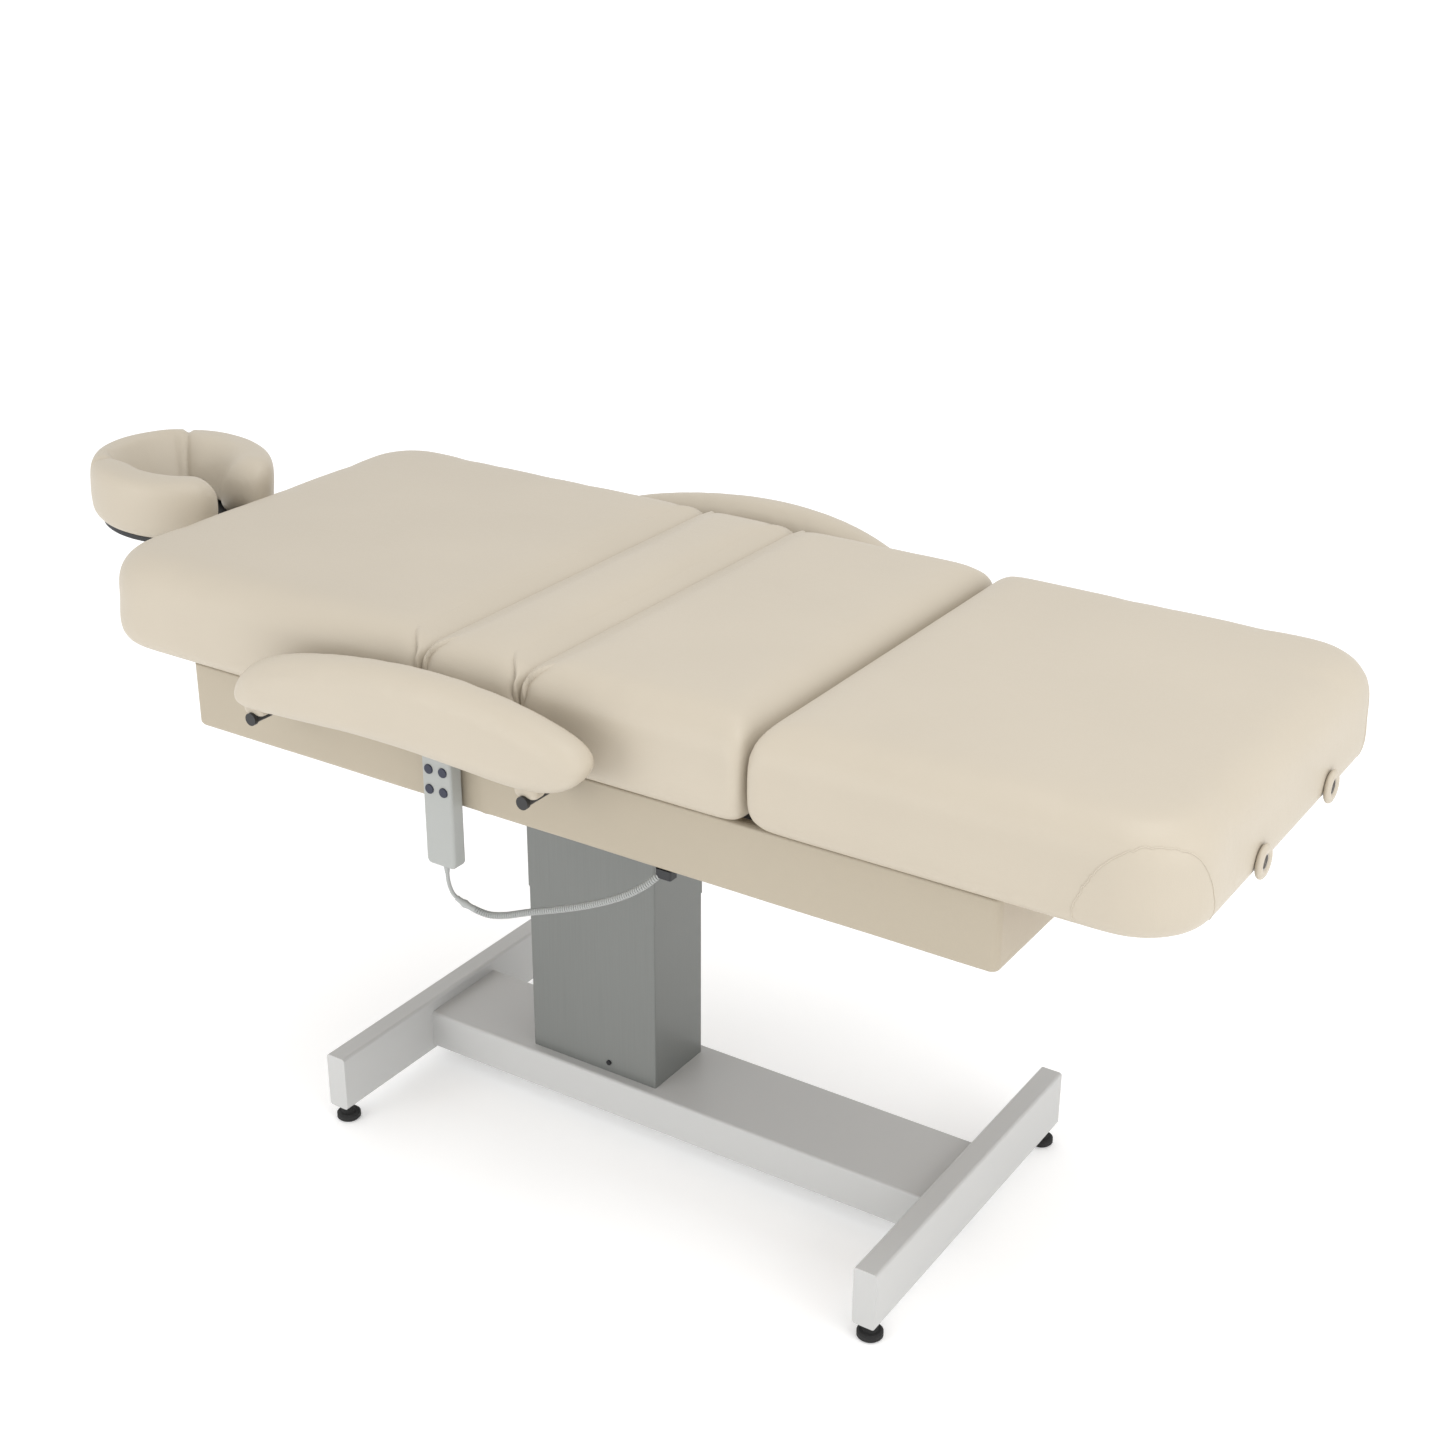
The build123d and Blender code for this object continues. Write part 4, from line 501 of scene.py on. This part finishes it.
cream_vinyl = vinyl_finish("cream_vinyl", (0.485, 0.431, 0.348))
for name, node, body, x_low, x_high, head_end, foot_end in (
    ("back_pad", "back_cushion", "back_section", -0.898, -0.2158, True, False),
    ("seat_pad", "seat_cushion", "top_frame", -0.2142, -0.0388, False, False),
    ("thigh_pad", "thigh_cushion", "thigh_section", -0.0372, 0.3292, False, False),
    ("leg_pad", "leg_cushion", "leg_section", 0.3308, 0.950, False, True),
):
    points, faces = pad_shape(x_low, x_high, head_end, foot_end)
    pad = upholstered(name, points, faces, 0.0095, 0.006,
                      section_freedom(x_low, x_high, head_end, foot_end), body)
    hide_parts(node)


# ---- Crease webs ---------------------------------------------------------------
# A strip of the same vinyl is glued across each tilting crease, over the top and
# down both sides, so that the hinges inside don't show.
def crease_web(name, seam_x):
    """Thin strip carried along the pads' outline, its section a valley with a narrow fold.

    Inset = 12.4 mm - 0.33 |x| + 2.4 mm * exp(-|x| / 3.5 mm) up to 36 mm from the seam, and from
    there it runs in under the pad. Round the pads' long edges x is widened by 1 / (1 - cos a),
    where a turns from 0 on the side to 90 degrees on the top, as the pads' own edges narrow.
    """
    across = 0.042 * np.linspace(-1.0, 1.0, 85)
    corner = np.linspace(0.0, math.pi / 2, 14)
    side_run = np.linspace(0.842, pad_top - top_edge, 20)[:-1]
    top_run = np.linspace(-(pad_half_width - top_edge), pad_half_width - top_edge, 60)[1:-1]
    centre_y, centre_z = pad_half_width - top_edge, pad_top - top_edge
    near = np.stack((-centre_y - top_edge * np.cos(corner), centre_z + top_edge * np.sin(corner)), axis=1)
    path = np.concatenate((
        np.stack((np.full(19, -pad_half_width), side_run), axis=1), near,
        np.stack((top_run, np.full(58, pad_top)), axis=1),
        near[::-1] * (-1.0, 1.0),
        np.stack((np.full(19, pad_half_width), side_run[::-1]), axis=1)))
    rise = np.concatenate((np.zeros(19), corner, np.full(58, math.pi / 2), corner[::-1], np.zeros(19)))
    reach = np.abs(across)[None, :] / np.maximum(1.0 - np.cos(rise), 0.2)[:, None]
    flank = 0.0124 - 0.33 * reach + 0.0024 * np.exp(-reach / 0.0035)
    tucked = np.minimum(0.0005 + 30.0 * (reach - 0.036) ** 2, 0.009)
    inset = np.where(reach < 0.036, flank, tucked)
    inset = np.maximum(inset, 0.008 * np.clip(1.0 - rise / math.radians(30.0), 0.0, 1.0)[:, None])
    core = np.stack((np.clip(path[:, 0], -centre_y, centre_y), np.minimum(path[:, 1], centre_z)), axis=1)
    inward = core - path
    inward /= np.linalg.norm(inward, axis=1, keepdims=True)
    layers = []
    for depth in (0.0, 0.0012):
        yz = path[:, None, :] + inward[:, None, :] * (inset + depth)[:, :, None]
        x = np.broadcast_to(seam_x + across[None, :, None], yz.shape[:2] + (1,))
        layers.append(np.concatenate((x, yz), axis=2))
    loop = np.concatenate((layers[0], layers[1][:, ::-1]), axis=1)
    points, faces = ring_solid(loop)
    web = add_mesh(name, points, faces)
    web.data.materials.append(cream_vinyl)
    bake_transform(web)
    return web


crease_web("back_crease_web", -0.215)
crease_web("thigh_crease_web", -0.038)


# ---- Foot end ------------------------------------------------------------------
# A shaped patch of cover is sewn over each corner of the foot end, and the mouths of
# the two sockets are finished with small vinyl collars.
patch_reach = 0.214


def patch_seam(side, count=90):
    """The line where the foot pad's skin is at the patch's reach from a point off its corner."""
    pad_mesh = bpy.data.objects["leg_pad"].evaluated_get(bpy.context.evaluated_depsgraph_get()).to_mesh()
    skin = coordinates(pad_mesh)
    centre = np.array((0.9825, side * 0.489, 0.805))
    distance = np.linalg.norm(skin - centre, axis=1)
    near = skin[(np.abs(distance - patch_reach) < 0.006) & (skin[:, 2] > 0.822)]
    bearing = np.arctan2(near[:, 2] - centre[2], (near[:, 0] - centre[0]) - side * (near[:, 1] - centre[1]))
    order = np.argsort(bearing)
    near, bearing = near[order], bearing[order]
    wanted = np.linspace(bearing[0], bearing[-1], count)
    kernel = 0.03
    weights = np.exp(-((wanted[:, None] - bearing[None]) / kernel) ** 2)
    line = (weights[..., None] * near[None]).sum(axis=1) / weights.sum(axis=1, keepdims=True)
    return line


for side in (-1, 1):
    line = patch_seam(side)
    seam = add_tube("corner_seam_near" if side < 0 else "corner_seam_far", line,
                    np.full(len(line), 0.0011), sides=10)
    seam.data.materials.append(cream_vinyl)
    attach(seam, "leg_section")


def collar(name, mouth_x, outward, y, z, body):
    """Soft lip round a socket's mouth: a rounded section carried round the sleeve's edge."""
    around = np.linspace(0.0, 2.0 * math.pi, 64, endpoint=False)
    section = np.linspace(0.0, 2.0 * math.pi, 20, endpoint=False)
    radius = 0.0170 + 0.0068 * np.cos(section)[None, :]
    points = np.stack((
        mouth_x + outward * (0.001 + 0.0050 * np.sin(section)[None, :] + 0 * around[:, None]),
        y + radius * np.cos(around)[:, None], z + radius * np.sin(around)[:, None]), axis=-1)
    index = np.arange(64 * 20).reshape(64, 20)
    quads = np.stack((index, np.roll(index, -1, 0), np.roll(np.roll(index, -1, 0), -1, 1),
                      np.roll(index, -1, 1)), axis=-1).reshape(-1, 4)
    if outward < 0:
        quads = quads[:, ::-1]
    ring = add_mesh(name, points, quads)
    ring.data.materials.append(cream_vinyl)
    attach(ring, body)


for end, mouth_x, outward, body in (("head", -0.899, -1, "back_section"), ("foot", 0.951, 1, "leg_section")):
    for side, y in (("near", -0.130), ("far", 0.130)):
        collar(f"{end}_socket_collar_{side}", mouth_x, outward, y, 0.842, body)


# ---- Armrests ------------------------------------------------------------------
# Arched pads of firm foam in cream vinyl, leaning outwards on two steel tubes each.
def smooth_loop(corners, count):
    """Closed cubic B-spline over the given corners, evenly sampled in its parameter."""
    corners = np.asarray(corners, dtype=float)
    position = np.linspace(0.0, len(corners), count, endpoint=False)
    base = np.floor(position).astype(int)
    t = (position - base)[:, None]
    weights = ((1 - t) ** 3, 3 * t ** 3 - 6 * t ** 2 + 4, -3 * t ** 3 + 3 * t ** 2 + 3 * t + 1, t ** 3)
    return sum(weight * corners[(base + shift) % len(corners)]
               for shift, weight in zip((-1, 0, 1, 2), weights)) / 6.0


arm_foot_y, arm_foot_z, arm_lean = 0.427, 0.815, math.radians(12.0)
arm_half_thickness = 0.031
arm_outline = ((-0.524, 0.812), (-0.524, 0.850), (-0.484, 0.898), (-0.400, 0.930), (-0.270, 0.955),
               (-0.125, 0.967), (0.010, 0.953), (0.097, 0.922), (0.136, 0.895), (0.134, 0.862),
               (0.075, 0.822), (0.000, 0.812), (-0.120, 0.822), (-0.260, 0.826), (-0.400, 0.820))


def arm_pad_shape(side):
    """Arched outline drawn in to its spine as the thickness grows, a superellipse across."""
    outline = smooth_loop(arm_outline, 220)
    spine = np.stack((np.clip(outline[:, 0], -0.485, 0.095),
                      np.interp(outline[:, 0], (-0.52, -0.27, -0.125, 0.01, 0.13),
                                (0.845, 0.888, 0.894, 0.885, 0.868))), axis=1)
    rings = []
    for t in np.linspace(-math.pi / 2, math.pi / 2, 31)[1:-1]:
        flat = spine + (outline - spine) * abs(math.cos(t)) ** 0.62
        out = arm_half_thickness * math.copysign(abs(math.sin(t)) ** 0.72, t)
        up = (flat[:, 1] - arm_foot_z) / math.cos(arm_lean)
        y = arm_foot_y + up * math.sin(arm_lean) + out * math.cos(arm_lean)
        z = arm_foot_z + up * math.cos(arm_lean) - out * math.sin(arm_lean)
        rings.append(np.stack((flat[:, 0], side * y, z), axis=1))
    if side > 0:
        rings = rings[::-1]
    return ring_solid(np.stack(rings))


for side, label in ((-1, "near"), (1, "far")):
    points, faces = arm_pad_shape(side)
    arm_pad = upholstered(f"{label}_armrest_pad", points, faces, 0.006, 0.004,
                          lambda places: np.clip((places[:, 2] - 0.82) / 0.03, 0.0, 1.0),
                          f"{label}_armrest")
    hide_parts(f"{label}_arm_pad")


def rounded_block(centre, half, power):
    """Superellipsoid: |x/a|^p + |y/b|^p + |z/c|^p = 1, from pole to pole."""
    rise = np.linspace(-math.pi / 2, math.pi / 2, 33)[1:-1, None]
    turn = np.linspace(0.0, 2.0 * math.pi, 48, endpoint=False)[None, :]
    def eased(value):
        return np.sign(value) * np.abs(value) ** (2.0 / power)
    return np.stack((centre[0] + half[0] * eased(np.cos(rise)) * eased(np.cos(turn)),
                     centre[1] + half[1] * eased(np.cos(rise)) * eased(np.sin(turn)),
                     centre[2] + half[2] * eased(np.sin(rise)) + 0.0 * turn), axis=2)


for side, label in ((-1, "near"), (1, "far")):
    for end, tube_x in (("head", -0.499), ("foot", 0.012)):
        points, faces = ring_solid(rounded_block((tube_x, side * 0.419, 0.812), (0.020, 0.0145, 0.0155), 4.0))
        block = add_mesh(f"{label}_armrest_block_{end}", points, faces)
        block.data.materials.append(cream_vinyl)
        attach(block, f"{label}_armrest")


# ---- Face cradle ---------------------------------------------------------------
# A horseshoe cushion of soft foam in vinyl, its forehead part sloping to the opening
# and sewn to two fuller lobes; it lies on a black moulded platform.
cradle_centre = -1.076
slot_of = {part["node"]: part["material_slot"] for part in frame["record"]["subparts"]}
platform_slot = slot_of["cradle_platform"]
cradle_pivot = np.array((-0.992, 0.864))
cradle_tilt = math.radians(4.5)
forehead_section = ((0.1555, 0.884), (0.157, 0.930), (0.156, 0.974), (0.150, 0.991), (0.136, 0.992),
                    (0.118, 0.974), (0.095, 0.940), (0.072, 0.906), (0.065, 0.884), (0.110, 0.882))
lobe_section = ((0.1555, 0.884), (0.157, 0.930), (0.157, 0.970), (0.150, 0.991), (0.125, 0.995),
                (0.094, 0.986), (0.072, 0.958), (0.062, 0.920), (0.062, 0.884), (0.110, 0.882))
lobe_seam_angle = math.radians(128.0)
mouth_angle = math.radians(16.5)


def cradle_shape():
    """Section carried round from mouth to mouth, shrunk to rounded ends; fuller beyond the seams.

    The share of the lobe's section is a smooth step in the angle from the mouth.
    """
    angle = np.linspace(mouth_angle, 2.0 * math.pi - mouth_angle, 200)
    from_mouth = np.minimum(angle, 2.0 * math.pi - angle)
    share = np.clip((lobe_seam_angle - from_mouth) / math.radians(34.0) + 0.5, 0.0, 1.0)[:, None, None]
    share = share * share * (3.0 - 2.0 * share)
    section = (smooth_loop(forehead_section, 72) * (1.0 - share) + smooth_loop(lobe_section, 72) * share)
    run = (from_mouth - mouth_angle) * 0.115
    full = np.sqrt(np.clip(1.0 - (1.0 - np.clip(run / 0.042, 0.0, 1.0)) ** 2, 0.0004, 1.0))[:, None, None]
    middle = np.array((0.115, 0.934))
    section = middle + (section - middle) * full
    flat = section[:, :, 0]
    points = np.stack((cradle_centre + flat * np.cos(angle)[:, None], flat * np.sin(angle)[:, None],
                       section[:, :, 1]), axis=2)
    return ring_solid(points[:, ::-1])


def cradle_tilted(points):
    """Turned about the cradle's pivot so that the head side stands higher."""
    x = points[:, 0] - cradle_pivot[0]
    z = points[:, 2] - cradle_pivot[1]
    turned = points.copy()
    turned[:, 0] = cradle_pivot[0] + x * math.cos(cradle_tilt) + z * math.sin(cradle_tilt)
    turned[:, 2] = cradle_pivot[1] - x * math.sin(cradle_tilt) + z * math.cos(cradle_tilt)
    return turned


points, faces = cradle_shape()
cradle = upholstered("face_cradle_cushion", cradle_tilted(points), faces, 0.005, 0.003,
                     lambda places: np.clip((places[:, 2] - 0.895) / 0.03, 0.0, 1.0),
                     "cradle_head")
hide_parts("cradle_cushion")
skin = coordinates(cradle.data)
bearing = np.abs(np.arctan2(skin[:, 1], skin[:, 0] - cradle_centre))
reach = np.hypot(skin[:, 1], skin[:, 0] - cradle_centre)
groove = np.exp(-((bearing - lobe_seam_angle) * reach / 0.0045) ** 2)
heart = np.stack((cradle_centre + 0.118 * np.cos(bearing), 0.118 * np.sin(bearing) * np.sign(skin[:, 1]),
                  np.full(len(skin), 0.940) - 0.078 * (skin[:, 0] - cradle_pivot[0])), axis=1)
inward = heart - skin
inward /= np.linalg.norm(inward, axis=1, keepdims=True)
skin += inward * (0.0075 * groove)[:, None]
cradle.data.vertices.foreach_set("co", skin.ravel())
cradle.data.update()


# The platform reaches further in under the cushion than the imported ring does.
def platform_lip(name, inner, outer, low, high, count=96):
    """Flat ring with square edges, turned with the cradle: a rectangle carried round a circle."""
    angle = np.linspace(0.0, 2.0 * math.pi, count, endpoint=False)
    corners = np.array(((inner, low), (outer, low), (outer, high), (inner, high)))
    points = np.stack((
        cradle_centre + corners[None, :, 0] * np.cos(angle)[:, None],
        corners[None, :, 0] * np.sin(angle)[:, None],
        np.broadcast_to(corners[None, :, 1], (count, 4))), axis=2).reshape(-1, 3)
    index = np.arange(count * 4).reshape(count, 4)
    turn, step = np.roll(index, -1, axis=0), np.roll(index, -1, axis=1)
    quads = np.stack((index, turn, np.roll(turn, -1, axis=1), step), axis=-1).reshape(-1, 4)
    return add_mesh(name, cradle_tilted(points), quads)


lip = platform_lip("face_cradle_platform_lip", 0.052, 0.0825, 0.8775, 0.8835)
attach(lip, "cradle_head")


# ---- Apron ---------------------------------------------------------------------
# Plywood boards round the frame, wrapped in thin padding and the same vinyl, which
# is drawn round the corners and has a small fold in it on the handset's side. The
# vinyl's colour is darkened here as painted shade under the pads' overhang.
# Cream vinyl about a fifth darker than the pads': painted shade under the overhang of the pads.
apron_vinyl = vinyl_finish("apron_vinyl", (0.405, 0.354, 0.273))
path_count = 1200
outer = rounded_ring(-0.714, 0.695, 0.345, (0.012, 0.012), path_count)
inner = rounded_ring(-0.694, 0.675, 0.325, (0.004, 0.004), path_count)
outward = outer - inner
outward /= np.linalg.norm(outward, axis=1, keepdims=True)
lower, upper, lower_edge = 0.6965, 0.8045, 0.009
quarter = np.linspace(0.0, math.pi / 2, 8)
profile = np.concatenate((
    np.stack((np.full(26, 1.0), np.linspace(upper, lower + lower_edge, 26)), axis=1),
    np.stack((1.0 - 0.45 * (1.0 - np.cos(quarter[1:])), lower + lower_edge * (1.0 - np.sin(quarter[1:]))), axis=1),
    np.stack((0.45 * (1.0 - np.sin(quarter)), lower + lower_edge * (1.0 - np.cos(quarter))), axis=1),
    np.stack((np.full(12, 0.0), np.linspace(lower + lower_edge, upper, 13)[1:]), axis=1)))
share = profile[:, 0][None, :, None]
plan = inner[:, None, :] * (1.0 - share) + outer[:, None, :] * share
height = np.broadcast_to(profile[:, 1][None, :, None], plan.shape[:2] + (1,))
waviness = 0.0006 * np.sin(outer[:, 0] * 19.0 + 1.0) * np.sin(outer[:, 0] * 7.3 + outer[:, 1] * 5.0)
fold = np.where(outer[:, 1] < -0.3, 1.0, 0.0) * (
    0.0030 * np.exp(-((outer[:, 0] + 0.130) / 0.005) ** 2) - 0.0022 * np.exp(-((outer[:, 0] + 0.121) / 0.0035) ** 2))
lift = (waviness + fold)[:, None] * profile[:, 0][None, :]
plan = plan + outward[:, None, :] * lift[:, :, None]
points = np.concatenate((plan, height), axis=2)
index = np.arange(path_count * len(profile)).reshape(path_count, -1)
turn, step = np.roll(index, -1, axis=0), np.roll(index, -1, axis=1)
quads = np.stack((index, step, np.roll(turn, -1, axis=1), turn), axis=-1).reshape(-1, 4)
apron = add_mesh("apron_cover", points, quads)
apron.data.materials.append(apron_vinyl)
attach(apron, "top_frame")
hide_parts("apron_sides", "apron_ends")


# ---- Hard parts ----------------------------------------------------------------
# Powder-coated base, brushed column covers, black frame, plywood boards and moulded
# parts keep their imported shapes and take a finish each.
def grain_finish(name, colour, roughness, metallic, scale, stretch, spread, depth):
    """Hard finish: colour and roughness wander with one stretched grain, over a fine bump."""
    finish, tree, shader = new_material(name, colour, roughness, metallic)
    broad = textured(tree, "ShaderNodeTexNoise", 4.0, detail=3.0)
    tinted(tree, shader, broad.outputs["Fac"], colour, spread)
    grain = textured(tree, "ShaderNodeTexNoise", scale, stretch, 3.0)
    span = ranged(tree, grain.outputs["Fac"], roughness * 0.75, min(1.0, roughness * 1.25))
    tree.links.new(span, shader.inputs["Roughness"])
    tree.links.new(bumped(tree, grain.outputs["Fac"], depth, 0.5), shader.inputs["Normal"])
    return finish


def brushed_finish(name, colour, roughness):
    """Sheet brushed upright: fine streaks in colour, roughness and bump, drawn out along Z."""
    finish, tree, shader = new_material(name, colour, roughness, 0.35)
    streak = textured(tree, "ShaderNodeTexNoise", 60.0, (8.0, 8.0, 0.12), 4.0)
    tinted(tree, shader, streak.outputs["Fac"], colour, 0.09)
    span = ranged(tree, streak.outputs["Fac"], roughness * 0.8, roughness * 1.2)
    tree.links.new(span, shader.inputs["Roughness"])
    tree.links.new(bumped(tree, streak.outputs["Fac"], 0.00012, 0.5), shader.inputs["Normal"])
    return finish


def plywood_finish(name, colour):
    """Birch plywood: long figure along the couch and thin dark plies through its thickness."""
    finish, tree, shader = new_material(name, colour, 0.7)
    figure = textured(tree, "ShaderNodeTexNoise", 18.0, (0.6, 7.0, 40.0), 6.0)
    tinted(tree, shader, figure.outputs["Fac"], colour, 0.28)
    fibre = textured(tree, "ShaderNodeTexNoise", 300.0, (0.2, 3.0, 3.0), 2.0)
    span = ranged(tree, fibre.outputs["Fac"], 0.6, 0.85)
    tree.links.new(span, shader.inputs["Roughness"])
    tree.links.new(bumped(tree, fibre.outputs["Fac"], 0.0003, 0.4), shader.inputs["Normal"])
    return finish


even_grain = (1.0, 1.0, 1.0)
finishes = {
    "base_paint": grain_finish("base_paint", (0.50, 0.50, 0.49), 0.42, 0.0, 700.0, even_grain, 0.02, 0.0002),
    "frame_paint": grain_finish("frame_paint", (0.018, 0.018, 0.02), 0.45, 0.0, 700.0, even_grain, 0.1, 0.0002),
    "column_aluminium": brushed_finish("column_aluminium", (0.185, 0.192, 0.183), 0.42),
    "profile_aluminium": brushed_finish("profile_aluminium", (0.40, 0.41, 0.42), 0.35),
    "bare_steel": grain_finish("bare_steel", (0.45, 0.45, 0.46), 0.35, 0.9, 500.0, (1.0, 1.0, 0.3), 0.06, 0.0001),
    "dark_screw": grain_finish("dark_screw", (0.02, 0.02, 0.022), 0.4, 0.6, 900.0, even_grain, 0.1, 0.0001),
    "foot_rubber": grain_finish("foot_rubber", (0.012, 0.012, 0.012), 0.8, 0.0, 600.0, even_grain, 0.15, 0.0003),
    "cap_plastic": grain_finish("cap_plastic", (0.010, 0.010, 0.011), 0.4, 0.0, 800.0, even_grain, 0.1, 0.0001),
    "black_plastic": grain_finish("black_plastic", (0.014, 0.015, 0.017), 0.55, 0.0, 900.0, even_grain, 0.1, 0.0002),
    "handset_plastic": grain_finish("handset_plastic", (0.36, 0.37, 0.355), 0.45, 0.0, 900.0, even_grain, 0.02, 0.00015),
    "button_rubber": grain_finish("button_rubber", (0.018, 0.022, 0.045), 0.55, 0.0, 900.0, even_grain, 0.1, 0.0001),
    "motor_grey": grain_finish("motor_grey", (0.05, 0.053, 0.055), 0.5, 0.0, 700.0, even_grain, 0.08, 0.0002),
    "board_plywood": plywood_finish("board_plywood", (0.42, 0.28, 0.15)),
}
for node, shape in frame["nodes"].items():
    finish = finishes.get(slot_of[node])
    if finish is not None:
        for material_slot in shape.material_slots:
            material_slot.material = finish
        if not shape.material_slots:
            shape.data.materials.append(finish)

lip.data.materials.append(finishes[platform_slot])

# Tapered boot where the lead leaves the handset.
boot_line = evenly(lead_path[:10], 24)
boot = add_tube("handset_boot", boot_line, np.linspace(0.0052, 0.0034, 24), sides=24)
boot.data.materials.append(cord_jacket)
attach(boot, "top_frame")
